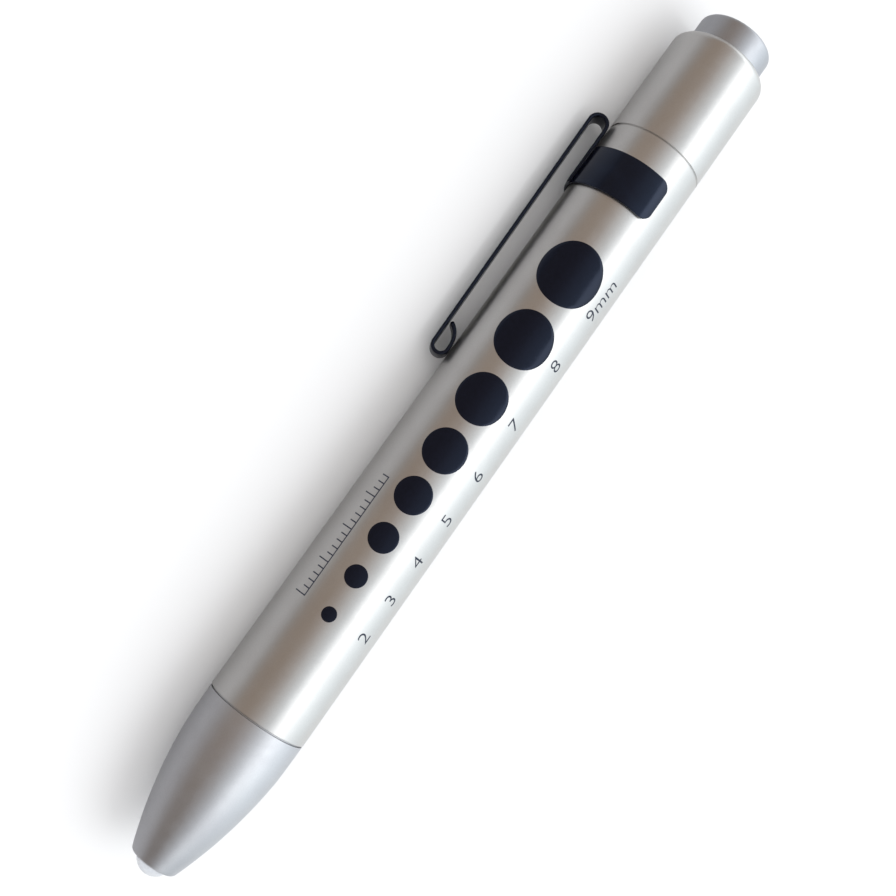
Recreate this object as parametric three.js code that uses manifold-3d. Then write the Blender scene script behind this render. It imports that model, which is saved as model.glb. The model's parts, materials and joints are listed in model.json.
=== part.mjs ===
// Two-cell diagnostic penlight with a pocket clip, a screw-on nose that carries the lamp,
// and a screw-on tail cap that carries a push-button switch.
//
// Units are millimetres. Along the pen, places are "stations": the distance from the joint
// between nose and barrel, positive towards the push button. The pen's axis lies along X with
// the lamp towards +X, so a point at station s has x = -s inside the pen's own group. The clip
// side is -Y inside that group. The group is then rolled about X, so that the clip's outer
// corner and the clip's band rest on the ground together, as a clipped pen comes to lie.

import * as THREE from 'three';
import { mergeVertices } from 'three/addons/utils/BufferGeometryUtils.js';
import Module from 'manifold-3d';

const wasm = await Module();
wasm.setup();

// ---- driving dimensions -------------------------------------------------------------------

const BODY_RADIUS = 7.1;
const BARREL_LENGTH = 90.55;
const CAP_END = 107.3;
const BUTTON_END = 111.4;
const BUTTON_RADIUS = 5.5;
const NOSE_RIM = -22.0;
const NOSE_TAPER_START = -5.5;
const NOSE_TAPER_RADIUS = 6.94;
const NOSE_TAPER_SLOPE = 4.6 * Math.PI / 180;
const NOSE_ARC_RADIUS = 60;
const SEAM_GAP = 0.2;
const EDGE_BREAK = 0.12;

const BORE_RADIUS = 5.4;
const THREAD_PITCH = 1.0;
const THREAD_MALE_ROOT = 5.95;
const THREAD_MALE_CREST = 6.3;
const THREAD_FEMALE_CREST = 6.1;
const THREAD_FEMALE_ROOT = 6.45;
const THREAD_BASE_WIDTH = 0.5;
const THREAD_CREST_WIDTH = 0.22;
const THREAD_EMBED = 0.15;

const CELL_RADIUS = 5.25;
const CELL_LENGTH = 44.5;
const CELL_FRONT = -2.0;
const CELL_GAP = 0.1;

const CLIP_THICKNESS = 0.5;
const CLIP_WIDTH = 3.2;
const CLIP_BAND_FROM = 80.3;
const CLIP_BAND_TO = 86.4;
const CLIP_BAND_SHEET = 0.4;
const CLIP_BAND_HALF_ANGLE = 124 * Math.PI / 180;
const CLIP_CORNER_RADIUS = 1.5;
const CLIP_CLEARANCE = 0.06;
const CLIP_LOOP_STATION = 89.65;
const CLIP_LOOP_RADIUS = 1.3;
const CLIP_SPLIT_ANGLE = 8 * Math.PI / 180;
const CLIP_CURL_STATION = 52.55;
const CLIP_CURL_RADIUS = 1.1;
const CLIP_CURL_HEIGHT = 9.6;
const CLIP_TAIL_LENGTH = 3.45;
const CLIP_TAIL_RISE = 1.75;
const CLIP_LEG_OVERLAP = 0.4;
const CLIP_TILT = 37.6 * Math.PI / 180;

const MOVING_GAP = 0.1;
const PRESS_GAP = 0.15;
const CONTACT_GAP = 0.05;

const CUT_RUNOUT = 0.5;

const BAND_SEGMENTS = 26;
const OUTER_SEGMENTS = 40;
const INNER_SEGMENTS = 24;
const OUTER_FACET = 2 * Math.PI / OUTER_SEGMENTS;
const OUTER_START = (Math.PI - CLIP_TILT - OUTER_FACET / 2) % OUTER_FACET;
const ROD_SEGMENTS = 8;
const RIVET_SEGMENTS = 12;
const STEM_SEGMENTS = 20;
const BEND_STEPS = 10;
const SPRING_STEPS = 12;
const SPRING_ARC_STEPS = 3;
const THREAD_SEGMENTS = 20;
const THREAD_FADE = 0.125;

// ---- materials ----------------------------------------------------------------------------

const FINISHES = {
  barrel: { color: 0xa9a39b, roughness: 0.4, metalness: 1.0 },
  nose: { color: 0xa3a4ad, roughness: 0.5, metalness: 1.0 },
  button: { color: 0x97989c, roughness: 0.5, metalness: 1.0 },
  clip: { color: 0x15161b, roughness: 0.2, metalness: 0.3 },
  lamp: { color: 0xdde9f2, roughness: 0.1, metalness: 0.0 },
  steel: { color: 0xb9bbbe, roughness: 0.3, metalness: 1.0 },
  brass: { color: 0xc9a04e, roughness: 0.3, metalness: 1.0 },
  rubber: { color: 0x1a1a1a, roughness: 0.8, metalness: 0.0 },
  black_plastic: { color: 0x202124, roughness: 0.5, metalness: 0.0 },
  white_plastic: { color: 0xe6e4dc, roughness: 0.5, metalness: 0.0 },
  board: { color: 0x1f5b38, roughness: 0.5, metalness: 0.0 },
  cell_jacket: { color: 0x35597c, roughness: 0.35, metalness: 0.4 },
};

// ---- solids -------------------------------------------------------------------------------

// Position-only mesh with shared vertices, no collapsed triangles and its faces pointing out.
function closedMesh(geometry) {
  const bare = geometry.clone();
  bare.deleteAttribute('normal');
  bare.deleteAttribute('uv');
  const shared = mergeVertices(bare, 1e-4);
  const place = shared.attributes.position;
  const index = Array.from(shared.index.array);
  const corner = [new THREE.Vector3(), new THREE.Vector3(), new THREE.Vector3()];
  const kept = [];
  let volume = 0;
  for (let i = 0; i < index.length; i += 3) {
    const [a, b, c] = index.slice(i, i + 3);
    if (a === b || b === c || c === a) continue;
    kept.push(a, b, c);
    corner.forEach((point, k) => point.fromBufferAttribute(place, index[i + k]));
    volume += corner[0].dot(corner[1].cross(corner[2]));
  }
  if (volume < 0) kept.reverse();
  shared.setIndex(kept);
  return shared;
}

function toSolid(geometry) {
  const shared = closedMesh(geometry);
  return new wasm.Manifold(new wasm.Mesh({
    numProp: 3,
    vertProperties: new Float32Array(shared.attributes.position.array),
    triVerts: new Uint32Array(shared.index.array),
  }));
}

function toGeometry(solid) {
  const mesh = solid.getMesh();
  const geometry = new THREE.BufferGeometry();
  geometry.setAttribute('position', new THREE.BufferAttribute(mesh.vertProperties, 3));
  geometry.setIndex(new THREE.BufferAttribute(mesh.triVerts, 1));
  return geometry;
}

function cut(base, ...tools) {
  return toGeometry(tools.reduce((solid, tool) => solid.subtract(toSolid(tool)), toSolid(base)));
}

function join(base, ...others) {
  return toGeometry(others.reduce((solid, other) => solid.add(toSolid(other)), toSolid(base)));
}

// Turned piece about the pen's axis, from [station, radius] rows. An outer piece is turned so
// that one of its facets lies flat on the ground.
function turned(rows, segments = INNER_SEGMENTS) {
  const start = segments === OUTER_SEGMENTS ? OUTER_START : 0;
  const closes = rows[0][1] > 0 || rows[rows.length - 1][1] > 0;
  const outline = closes ? [...rows, rows[0]] : rows;
  const points = outline.map(([station, radius]) => new THREE.Vector2(radius, -station));
  return new THREE.LatheGeometry(points, segments, start).rotateZ(-Math.PI / 2);
}

// Plain ring or sleeve between two stations.
function sleeve(from, to, inner, outer, segments = INNER_SEGMENTS) {
  return turned([[from, inner], [from, outer], [to, outer], [to, inner]], segments);
}

// Solid disc or rod on the axis between two stations.
function disc(from, to, radius, segments = INNER_SEGMENTS) {
  return turned([[from, 0], [from, radius], [to, radius], [to, 0]], segments);
}

// Rod parallel to the axis, its centre off the axis at (y, z).
function rod(from, to, radius, y, z, segments = ROD_SEGMENTS) {
  return disc(from, to, radius, segments).translate(0, y, z);
}

// Block between two stations, centred at (y, z).
function block(from, to, width, height, y, z) {
  return new THREE.BoxGeometry(to - from, width, height).translate(-(from + to) / 2, y, z);
}

// Right-hand helical ridge. It starts at the larger station and climbs towards the lamp. It is
// wound from one flat ring, and it fades in and out at its ends, so that it closes on itself.
function threadRidge(start, turns, baseRadius, crestRadius) {
  const base = THREAD_BASE_WIDTH / 2;
  const crest = THREAD_CREST_WIDTH / 2;
  const outline = [[-base, baseRadius], [-crest, crestRadius], [crest, crestRadius], [base, baseRadius]];
  const points = [...outline, outline[0]].map(([along, radius]) => new THREE.Vector2(radius, along));
  const ridge = new THREE.LatheGeometry(points, Math.round(turns * THREAD_SEGMENTS));
  const place = ridge.attributes.position;
  const progress = ridge.attributes.uv;
  const vertex = new THREE.Vector3();
  for (let i = 0; i < place.count; i += 1) {
    const turn = progress.getX(i) * turns;
    const angle = turn * 2 * Math.PI;
    const grown = Math.min(1, turn / THREAD_FADE, (turns - turn) / THREAD_FADE);
    vertex.fromBufferAttribute(place, i);
    const fullRadius = Math.hypot(vertex.x, vertex.z);
    const radius = baseRadius + (fullRadius - baseRadius) * grown;
    const along = vertex.y * grown + THREAD_PITCH * turn;
    place.setXYZ(i, radius * Math.sin(angle), along, radius * Math.cos(angle));
  }
  return ridge.rotateZ(-Math.PI / 2).translate(-start, 0, 0);
}

const maleRidge = (start, turns) => (
  threadRidge(start, turns, THREAD_MALE_ROOT - THREAD_EMBED, THREAD_MALE_CREST)
);
const femaleRidge = (start, turns) => (
  threadRidge(start, turns, THREAD_FEMALE_ROOT + THREAD_EMBED, THREAD_FEMALE_CREST)
);

// Helix about the pen's axis whose radius changes evenly from one end to the other.
class Coil extends THREE.Curve {
  constructor(from, to, radiusFrom, radiusTo, turns) {
    super();
    Object.assign(this, { from, to, radiusFrom, radiusTo, turns });
  }

  getPoint(u, target = new THREE.Vector3()) {
    const angle = u * this.turns * 2 * Math.PI;
    const radius = THREE.MathUtils.lerp(this.radiusFrom, this.radiusTo, u);
    const station = THREE.MathUtils.lerp(this.from, this.to, u);
    return target.set(-station, radius * Math.cos(angle), radius * Math.sin(angle));
  }
}

// Wound spring between the two stations that its end turns rest against.
function spring({ wire, radiusFrom, radiusTo, turns }, from, to) {
  const section = new THREE.Shape();
  section.absarc(0, 0, wire / 2, 0, 2 * Math.PI);
  return new THREE.ExtrudeGeometry(section, {
    steps: Math.round(turns * SPRING_STEPS),
    curveSegments: SPRING_ARC_STEPS,
    extrudePath: new Coil(from + wire / 2, to - wire / 2, radiusFrom, radiusTo, turns),
  });
}

// Sheet strip of even thickness that follows joined curves in the pen's XY plane.
function strip(curves, thickness, width) {
  const left = [];
  const right = [];
  curves.forEach((curve, order) => {
    const steps = curve.isLineCurve ? 1 : BEND_STEPS;
    for (let i = order === 0 ? 0 : 1; i <= steps; i += 1) {
      const point = curve.getPoint(i / steps);
      const along = curve.getTangent(i / steps);
      const across = new THREE.Vector2(-along.y, along.x).multiplyScalar(thickness / 2);
      left.push(point.clone().add(across));
      right.unshift(point.clone().sub(across));
    }
  });
  const outline = new THREE.Shape([...left, ...right]);
  return new THREE.ExtrudeGeometry(outline, { depth: width, bevelEnabled: false })
    .translate(0, 0, -width / 2);
}

// ---- barrel -------------------------------------------------------------------------------

const SPIGOT_LENGTH = 5.7;
const THREAD_INSET = 0.35;
const GROOVE_FROM = 0.5;
const GROOVE_WIDTH = 1.1;
const GROOVE_RADIUS = 5.68;
const THREAD_TURNS = 3;
const SEAL_CLEARANCE = 0.06;
const SEAL_BED = 0.04;
const SEAL_SECTION_SEGMENTS = 6;
const SEAL_RING_SEGMENTS = 28;
const SOCKET_DEPTH = 6.1;

const BARREL_NOSE_FACE = SEAM_GAP / 2;
const BARREL_TAIL_FACE = BARREL_LENGTH - SEAM_GAP / 2;
const CAP_FACE = BARREL_LENGTH + SEAM_GAP / 2;
const BARREL_SPIGOT_END = BARREL_TAIL_FACE + SPIGOT_LENGTH;
const BARREL_THREAD_START = BARREL_SPIGOT_END - THREAD_INSET;
const NOSE_FACE = -SEAM_GAP / 2;
const NOSE_SPIGOT_END = NOSE_FACE + SPIGOT_LENGTH;
const NOSE_THREAD_START = NOSE_SPIGOT_END - THREAD_INSET;

function barrelTube() {
  const grooveFrom = BARREL_TAIL_FACE + GROOVE_FROM;
  const body = turned([
    [BARREL_NOSE_FACE, THREAD_FEMALE_ROOT],
    [BARREL_NOSE_FACE, BODY_RADIUS - EDGE_BREAK],
    [BARREL_NOSE_FACE + EDGE_BREAK, BODY_RADIUS],
    [BARREL_TAIL_FACE - EDGE_BREAK, BODY_RADIUS],
    [BARREL_TAIL_FACE, BODY_RADIUS - EDGE_BREAK],
    [BARREL_TAIL_FACE, THREAD_MALE_ROOT],
    [grooveFrom, THREAD_MALE_ROOT],
    [grooveFrom, GROOVE_RADIUS],
    [grooveFrom + GROOVE_WIDTH, GROOVE_RADIUS],
    [grooveFrom + GROOVE_WIDTH, THREAD_MALE_ROOT],
    [BARREL_SPIGOT_END, THREAD_MALE_ROOT],
    [BARREL_SPIGOT_END, BORE_RADIUS],
    [SOCKET_DEPTH, BORE_RADIUS],
    [SOCKET_DEPTH, THREAD_FEMALE_ROOT],
  ], OUTER_SEGMENTS);
  const noseSocketThread = femaleRidge(NOSE_THREAD_START + THREAD_PITCH / 2, THREAD_TURNS);
  const tailThread = maleRidge(BARREL_THREAD_START, THREAD_TURNS);
  return join(body, noseSocketThread, tailThread);
}

// Flexible seal that fills the groove of a spigot.
function oRing(spigotFace) {
  const centre = spigotFace + GROOVE_FROM + GROOVE_WIDTH / 2;
  const outer = THREAD_FEMALE_ROOT - SEAL_CLEARANCE;
  const inner = GROOVE_RADIUS + SEAL_BED;
  return new THREE.TorusGeometry(
    (outer + inner) / 2, (outer - inner) / 2, SEAL_SECTION_SEGMENTS, SEAL_RING_SEGMENTS,
  ).rotateY(Math.PI / 2).translate(-centre, 0, 0);
}

// ---- pocket clip --------------------------------------------------------------------------

const CLIP_LEG_HEIGHT = BODY_RADIUS + CLIP_CLEARANCE + CLIP_THICKNESS / 2;
const CLIP_LOOP_HEIGHT = CLIP_LEG_HEIGHT + CLIP_LOOP_RADIUS;
const CLIP_ARM_HEIGHT = CLIP_LOOP_HEIGHT + CLIP_LOOP_RADIUS;
const CLIP_TAIL_FLAT = 0.5;
const CLIP_TAIL_KNEE = 0.78;
const CLIP_TAIL_KNEE_RISE = 0.25;
const CORNER_TOOL_HEIGHT = 3;
const CORNER_TOOL_MARGIN = 0.6;

// The clip's centre line is drawn with x = -station and y = -(distance from the axis).
function loopArc(from, to) {
  return new THREE.EllipseCurve(
    -CLIP_LOOP_STATION, -CLIP_LOOP_HEIGHT, CLIP_LOOP_RADIUS, CLIP_LOOP_RADIUS, from, to, false,
  );
}

function clipBand() {
  const inner = BODY_RADIUS + CLIP_CLEARANCE;
  const outer = inner + CLIP_BAND_SHEET;
  const first = -Math.PI / 2 - CLIP_BAND_HALF_ANGLE;
  const last = -Math.PI / 2 + CLIP_BAND_HALF_ANGLE;
  const hoop = new THREE.Shape();
  hoop.absarc(0, 0, outer, first, last, false);
  hoop.absarc(0, 0, inner, last, first, true);
  const width = CLIP_BAND_TO - CLIP_BAND_FROM;
  const band = new THREE.ExtrudeGeometry(hoop, {
    depth: width, bevelEnabled: false, curveSegments: BAND_SEGMENTS / 2,
  }).rotateY(Math.PI / 2).translate(-CLIP_BAND_TO, 0, 0);

  const cornerTools = [];
  for (const end of [-1, 1]) {
    for (const side of [-1, 1]) cornerTools.push(bandCorner(end, side, outer));
  }

  const innerLeg = new THREE.LineCurve(
    new THREE.Vector2(-CLIP_BAND_FROM - CLIP_LEG_OVERLAP, -CLIP_LEG_HEIGHT),
    new THREE.Vector2(-CLIP_LOOP_STATION, -CLIP_LEG_HEIGHT),
  );
  const leg = strip([innerLeg, loopArc(Math.PI / 2, Math.PI)], CLIP_THICKNESS, CLIP_WIDTH);
  return join(cut(band, ...cornerTools), leg);
}

// Tool that rounds one corner of the band: a block less a cylinder that points outwards.
function bandCorner(end, side, outer) {
  const radius = CLIP_CORNER_RADIUS;
  const arcAngle = CLIP_BAND_HALF_ANGLE - radius / outer;
  const edge = side < 0 ? CLIP_BAND_FROM : CLIP_BAND_TO;
  const centre = edge - side * radius;
  const size = radius + CORNER_TOOL_MARGIN;
  const corner = new THREE.BoxGeometry(size, CORNER_TOOL_HEIGHT, size)
    .translate(-side * size / 2, 0, end * size / 2);
  const round = new THREE.CylinderGeometry(radius, radius, 2 * CORNER_TOOL_HEIGHT, INNER_SEGMENTS);
  return cut(corner, round)
    .translate(-centre, -outer, 0)
    .rotateX(end * -arcAngle);
}

// The outer leg runs from the loop to a curl that folds in under itself and rests on the barrel.
function clipArm() {
  const loop = loopArc(Math.PI + CLIP_SPLIT_ANGLE, 1.5 * Math.PI);
  const curlTop = new THREE.Vector2(-CLIP_CURL_STATION, -CLIP_CURL_HEIGHT);
  const leg = new THREE.LineCurve(
    new THREE.Vector2(-CLIP_LOOP_STATION, -CLIP_ARM_HEIGHT), curlTop,
  );
  const curl = new THREE.EllipseCurve(
    curlTop.x, curlTop.y + CLIP_CURL_RADIUS, CLIP_CURL_RADIUS, CLIP_CURL_RADIUS,
    1.5 * Math.PI, 2.5 * Math.PI, false,
  );
  const foot = new THREE.Vector2(curlTop.x, curlTop.y + 2 * CLIP_CURL_RADIUS);
  const tailPoint = (along, rise) => (
    new THREE.Vector2(foot.x - CLIP_TAIL_LENGTH * along, foot.y - CLIP_TAIL_RISE * rise)
  );
  const tail = new THREE.CubicBezierCurve(
    foot, tailPoint(CLIP_TAIL_FLAT, 0), tailPoint(CLIP_TAIL_KNEE, CLIP_TAIL_KNEE_RISE), tailPoint(1, 1),
  );
  return strip([loop, leg, curl, tail], CLIP_THICKNESS, CLIP_WIDTH);
}

// ---- cells --------------------------------------------------------------------------------

const NUB_HEIGHT = 1.0;
const NUB_RADIUS = 1.9;
const PLATE_RADIUS = 4.5;
const PLATE_THICKNESS = 0.3;
const JACKET_CORNER = 0.5;
const NUB_CORNER = 0.2;
const CELL_PIECE_GAP = 0.05;

function cellPieces(number) {
  const front = CELL_FRONT + (number - 1) * (CELL_LENGTH + CELL_GAP);
  const back = front + CELL_LENGTH;
  const shoulder = front + NUB_HEIGHT;
  const jacketBack = back - PLATE_THICKNESS - CELL_PIECE_GAP;
  const jacket = turned([
    [shoulder, 0],
    [shoulder, CELL_RADIUS - JACKET_CORNER],
    [shoulder + JACKET_CORNER, CELL_RADIUS],
    [jacketBack - JACKET_CORNER, CELL_RADIUS],
    [jacketBack, CELL_RADIUS - JACKET_CORNER],
    [jacketBack, 0],
  ]);
  const nub = turned([
    [front, 0],
    [front, NUB_RADIUS - NUB_CORNER],
    [front + NUB_CORNER, NUB_RADIUS],
    [shoulder - CELL_PIECE_GAP, NUB_RADIUS],
    [shoulder - CELL_PIECE_GAP, 0],
  ]);
  const plate = disc(back - PLATE_THICKNESS, back, PLATE_RADIUS);
  return { jacket, nub, plate };
}

// ---- nose ---------------------------------------------------------------------------------

const LAMP_RADIUS = 2.5;
const LAMP_CENTRE = -21.2;
const LAMP_BASE = -15.6;
const LAMP_FLANGE_RADIUS = 2.9;
const LAMP_FLANGE_THICKNESS = 1.0;
const LAMP_DOME_STEPS = 7;
const LAMP_CLEARANCE = 0.14;
const LAMP_HOLE_RADIUS = LAMP_RADIUS + LAMP_CLEARANCE;
const RIM_CHAMFER = 0.3;
const NOSE_INSET = 0.02;
const NOSE_ARC_STEPS = 8;
const CAVITY_END = -4.0;
const BUSH_SEAT = -17.3;
const BUSH_RADIUS = 3.9;
const BUSH_END = -12.6;
const MODULE_RADIUS = 4.8;
const CARRIER_BORE_RADIUS = 3.9;
const MODULE_SEAT = -12.4;
const BOARD_FROM = -7.7;
const BOARD_TO = -6.7;
const SEAT_END = -6.25;
const SEAT_BORE_RADIUS = 2.2;
const SEAT_RADIUS = 4.0;
const RESISTOR = { height: 0.5, width: 1.6, length: 0.8, offset: 2.4 };
const CHIP = { height: 1.1, width: 2.8, length: 1.5, offset: -2.3 };
const LEAD_SIZE = 0.5;
const LEAD_OFFSET = 1.27;
const LEAD_HOLE_RADIUS = 0.5;
const LEAD_STUB = 0.1;
const FRONT_SPRING = { wire: 0.5, radiusFrom: 3.1, radiusTo: 1.5, turns: 3.5 };

// Station and radius of the nose's outside, an arc that steepens evenly towards the rim.
function noseArc(steps) {
  const lastSine = Math.sin(NOSE_TAPER_SLOPE) + (NOSE_TAPER_START - NOSE_RIM) / NOSE_ARC_RADIUS;
  const lastSlope = Math.asin(lastSine);
  const rows = [];
  for (let i = 0; i <= steps; i += 1) {
    const slope = THREE.MathUtils.lerp(NOSE_TAPER_SLOPE, lastSlope, i / steps);
    rows.push([
      NOSE_TAPER_START - NOSE_ARC_RADIUS * (Math.sin(slope) - Math.sin(NOSE_TAPER_SLOPE)),
      NOSE_TAPER_RADIUS - NOSE_ARC_RADIUS * (Math.cos(NOSE_TAPER_SLOPE) - Math.cos(slope)),
    ]);
  }
  return rows;
}

function noseCone() {
  const arc = noseArc(NOSE_ARC_STEPS);
  const [, rimRadius] = arc.pop();
  const grooveFrom = NOSE_FACE + GROOVE_FROM;
  const body = turned([
    [NOSE_FACE, THREAD_MALE_ROOT],
    [NOSE_FACE, BODY_RADIUS - NOSE_INSET - EDGE_BREAK],
    [NOSE_FACE - EDGE_BREAK, BODY_RADIUS - NOSE_INSET],
    ...arc,
    [NOSE_RIM + RIM_CHAMFER, rimRadius],
    [NOSE_RIM, rimRadius - RIM_CHAMFER],
    [NOSE_RIM, LAMP_HOLE_RADIUS],
    [BUSH_SEAT, LAMP_HOLE_RADIUS],
    [BUSH_SEAT, BUSH_RADIUS],
    [MODULE_SEAT, BUSH_RADIUS],
    [MODULE_SEAT, MODULE_RADIUS + MOVING_GAP],
    [CAVITY_END, MODULE_RADIUS + MOVING_GAP],
    [CAVITY_END, BORE_RADIUS],
    [NOSE_SPIGOT_END, BORE_RADIUS],
    [NOSE_SPIGOT_END, THREAD_MALE_ROOT],
    [grooveFrom + GROOVE_WIDTH, THREAD_MALE_ROOT],
    [grooveFrom + GROOVE_WIDTH, GROOVE_RADIUS],
    [grooveFrom, GROOVE_RADIUS],
    [grooveFrom, THREAD_MALE_ROOT],
  ], OUTER_SEGMENTS);
  return join(body, maleRidge(NOSE_THREAD_START, THREAD_TURNS));
}

function lamp() {
  const rows = [[LAMP_BASE, 0], [LAMP_BASE, LAMP_FLANGE_RADIUS]];
  rows.push([LAMP_BASE - LAMP_FLANGE_THICKNESS, LAMP_FLANGE_RADIUS]);
  rows.push([LAMP_BASE - LAMP_FLANGE_THICKNESS, LAMP_RADIUS]);
  for (let i = 0; i <= LAMP_DOME_STEPS; i += 1) {
    const angle = (i / LAMP_DOME_STEPS) * Math.PI / 2;
    const radius = i === LAMP_DOME_STEPS ? 0 : LAMP_RADIUS * Math.cos(angle);
    rows.push([LAMP_CENTRE - LAMP_RADIUS * Math.sin(angle), radius]);
  }
  return turned(rows);
}

// Tools for the two lead holes through a piece between two stations.
function leadHoles(from, to) {
  return [-1, 1].map((side) => (
    rod(from - CUT_RUNOUT, to + CUT_RUNOUT, LEAD_HOLE_RADIUS, side * LEAD_OFFSET, 0)
  ));
}

function lampBush() {
  const body = turned([
    [BUSH_SEAT + PRESS_GAP, LAMP_FLANGE_RADIUS + MOVING_GAP],
    [BUSH_SEAT + PRESS_GAP, BUSH_RADIUS - MOVING_GAP],
    [BUSH_END, BUSH_RADIUS - MOVING_GAP],
    [BUSH_END, 0],
    [LAMP_BASE + PRESS_GAP, 0],
    [LAMP_BASE + PRESS_GAP, LAMP_FLANGE_RADIUS + MOVING_GAP],
  ]);
  return cut(body, ...leadHoles(LAMP_BASE, BUSH_END));
}

function lampLead(side) {
  const from = LAMP_BASE + CONTACT_GAP;
  const to = BOARD_TO + LEAD_STUB;
  return block(from, to, LEAD_SIZE, LEAD_SIZE, side * LEAD_OFFSET, 0);
}

const moduleCarrier = () => (
  sleeve(MODULE_SEAT + PRESS_GAP, BOARD_FROM - MOVING_GAP, CARRIER_BORE_RADIUS, MODULE_RADIUS)
);

function driverBoard() {
  const board = disc(BOARD_FROM, BOARD_TO, MODULE_RADIUS);
  return cut(board, ...leadHoles(BOARD_FROM, BOARD_TO));
}

// Block on the board's front face, off the axis along z.
function boardPart({ height, width, length, offset }) {
  const foot = BOARD_FROM - MOVING_GAP;
  return block(foot - height, foot, width, length, 0, offset);
}

const springSeat = () => sleeve(BOARD_TO + PRESS_GAP, SEAT_END, SEAT_BORE_RADIUS, SEAT_RADIUS);

// Conical spring from its seat to the first cell's nub.
const frontSpring = () => spring(FRONT_SPRING, SEAT_END + MOVING_GAP, CELL_FRONT - MOVING_GAP);

// ---- tail cap and switch ------------------------------------------------------------------

const CAP_BORE_RADIUS = 6.05;
const CAP_SOCKET_END = 96.45;
const CAP_LIP_FACE = 104.5;
const CAP_CORNER_RADIUS = 1.3;
const FLANGE_RADIUS = 5.93;
const FLANGE_FROM = 103.4;
const CAP_CORNER_STEPS = 4;
const BUTTON_CORNER_RADIUS = 0.7;
const BUTTON_CORNER_STEPS = 3;
const BUTTON_BORE_RADIUS = 4.3;
const BUTTON_CLEARANCE = 0.12;
const LIP_CLEARANCE = 0.2;
const FLANGE_TO = CAP_LIP_FACE - LIP_CLEARANCE;
const BUTTON_CEILING = 109.7;
const BASE_FROM = 97.6;
const SPRING_PLATE_THICKNESS = 0.25;
const SPRING_PLATE_TO = BASE_FROM - MOVING_GAP;
const SPRING_PLATE_FROM = SPRING_PLATE_TO - SPRING_PLATE_THICKNESS;
const SPRING_PLATE_RADIUS = 4.5;
const BASE_TO = 98.6;
const COVER_FROM = BASE_TO + MOVING_GAP;
const COVER_TO = 101.7;
const STEM_RADIUS = 1.5;
const BRIDGE_FROM = 100.5;
const BRIDGE_TO = 100.85;
const BRIDGE_RADIUS = 3.4;
const CONTACT_THICKNESS = 0.3;
const COVER_WALL_THICKNESS = 0.6;
const COVER_BORE_RADIUS = 5.0;
const SWITCH_RADIUS = CAP_BORE_RADIUS - PRESS_GAP;
const RING_BORE_RADIUS = 4.75;
const RIVET_OFFSET = -2.4;
const RIVET_RADIUS = 0.65;
const RIVET_PAD_WIDTH = 2.6;
const CAP_PAD_WIDTH = 3.4;
const CAP_PAD_OFFSET = 2.9;
const PAD_LENGTH = 3.0;
const RETURN_SPRING = { wire: 0.45, radiusFrom: 2.9, radiusTo: 2.9, turns: 5 };
const TAIL_SPRING = { wire: 0.7, radiusFrom: 2.4, radiusTo: 4.0, turns: 5 };

// Rows of a rounded outside corner that ends at the given station.
function roundedEnd(end, radius, cornerRadius, steps) {
  const rows = [];
  for (let i = 0; i <= steps; i += 1) {
    const angle = (i / steps) * Math.PI / 2;
    rows.push([
      end - cornerRadius * (1 - Math.sin(angle)),
      radius - cornerRadius * (1 - Math.cos(angle)),
    ]);
  }
  return rows;
}

function tailCap() {
  const body = turned([
    [CAP_FACE, THREAD_FEMALE_ROOT],
    [CAP_FACE, BODY_RADIUS - EDGE_BREAK],
    [CAP_FACE + EDGE_BREAK, BODY_RADIUS],
    ...roundedEnd(CAP_END, BODY_RADIUS, CAP_CORNER_RADIUS, CAP_CORNER_STEPS),
    [CAP_END, BUTTON_RADIUS + BUTTON_CLEARANCE],
    [CAP_LIP_FACE, BUTTON_RADIUS + BUTTON_CLEARANCE],
    [CAP_LIP_FACE, CAP_BORE_RADIUS],
    [CAP_SOCKET_END, CAP_BORE_RADIUS],
    [CAP_SOCKET_END, THREAD_FEMALE_ROOT],
  ], OUTER_SEGMENTS);
  return join(body, femaleRidge(BARREL_THREAD_START + THREAD_PITCH / 2, THREAD_TURNS));
}

function pushButton() {
  return turned([
    [FLANGE_FROM, BUTTON_BORE_RADIUS],
    [FLANGE_FROM, FLANGE_RADIUS],
    [FLANGE_TO, FLANGE_RADIUS],
    [FLANGE_TO, BUTTON_RADIUS],
    ...roundedEnd(BUTTON_END, BUTTON_RADIUS, BUTTON_CORNER_RADIUS, BUTTON_CORNER_STEPS),
    [BUTTON_END, 0],
    [BUTTON_CEILING, 0],
    [BUTTON_CEILING, BUTTON_BORE_RADIUS],
  ], OUTER_SEGMENTS);
}

const plunger = () => (
  disc(BRIDGE_TO + MOVING_GAP, BUTTON_CEILING - MOVING_GAP, STEM_RADIUS, STEM_SEGMENTS)
);
const bridgeContact = () => disc(BRIDGE_FROM, BRIDGE_TO, BRIDGE_RADIUS);
const springPlate = () => disc(SPRING_PLATE_FROM, SPRING_PLATE_TO, SPRING_PLATE_RADIUS);

// Threadless stand-in for the ring that holds the switch in the cap.
function retainingRing() {
  const from = CAP_SOCKET_END + LIP_CLEARANCE;
  return sleeve(from, BASE_FROM - PRESS_GAP, RING_BORE_RADIUS, CAP_BORE_RADIUS - MOVING_GAP);
}

const returnSpring = () => spring(RETURN_SPRING, COVER_TO + MOVING_GAP, BUTTON_CEILING - MOVING_GAP);

function tailSpring() {
  const cellBack = CELL_FRONT + 2 * CELL_LENGTH + CELL_GAP;
  return spring(TAIL_SPRING, cellBack + MOVING_GAP, SPRING_PLATE_FROM - MOVING_GAP);
}

function switchBase() {
  const plate = disc(BASE_FROM, BASE_TO, SWITCH_RADIUS);
  const from = BASE_FROM - CUT_RUNOUT;
  const to = BASE_TO + CUT_RUNOUT;
  return cut(plate, rod(from, to, RIVET_RADIUS + PRESS_GAP, RIVET_OFFSET, 0, RIVET_SEGMENTS));
}

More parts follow.
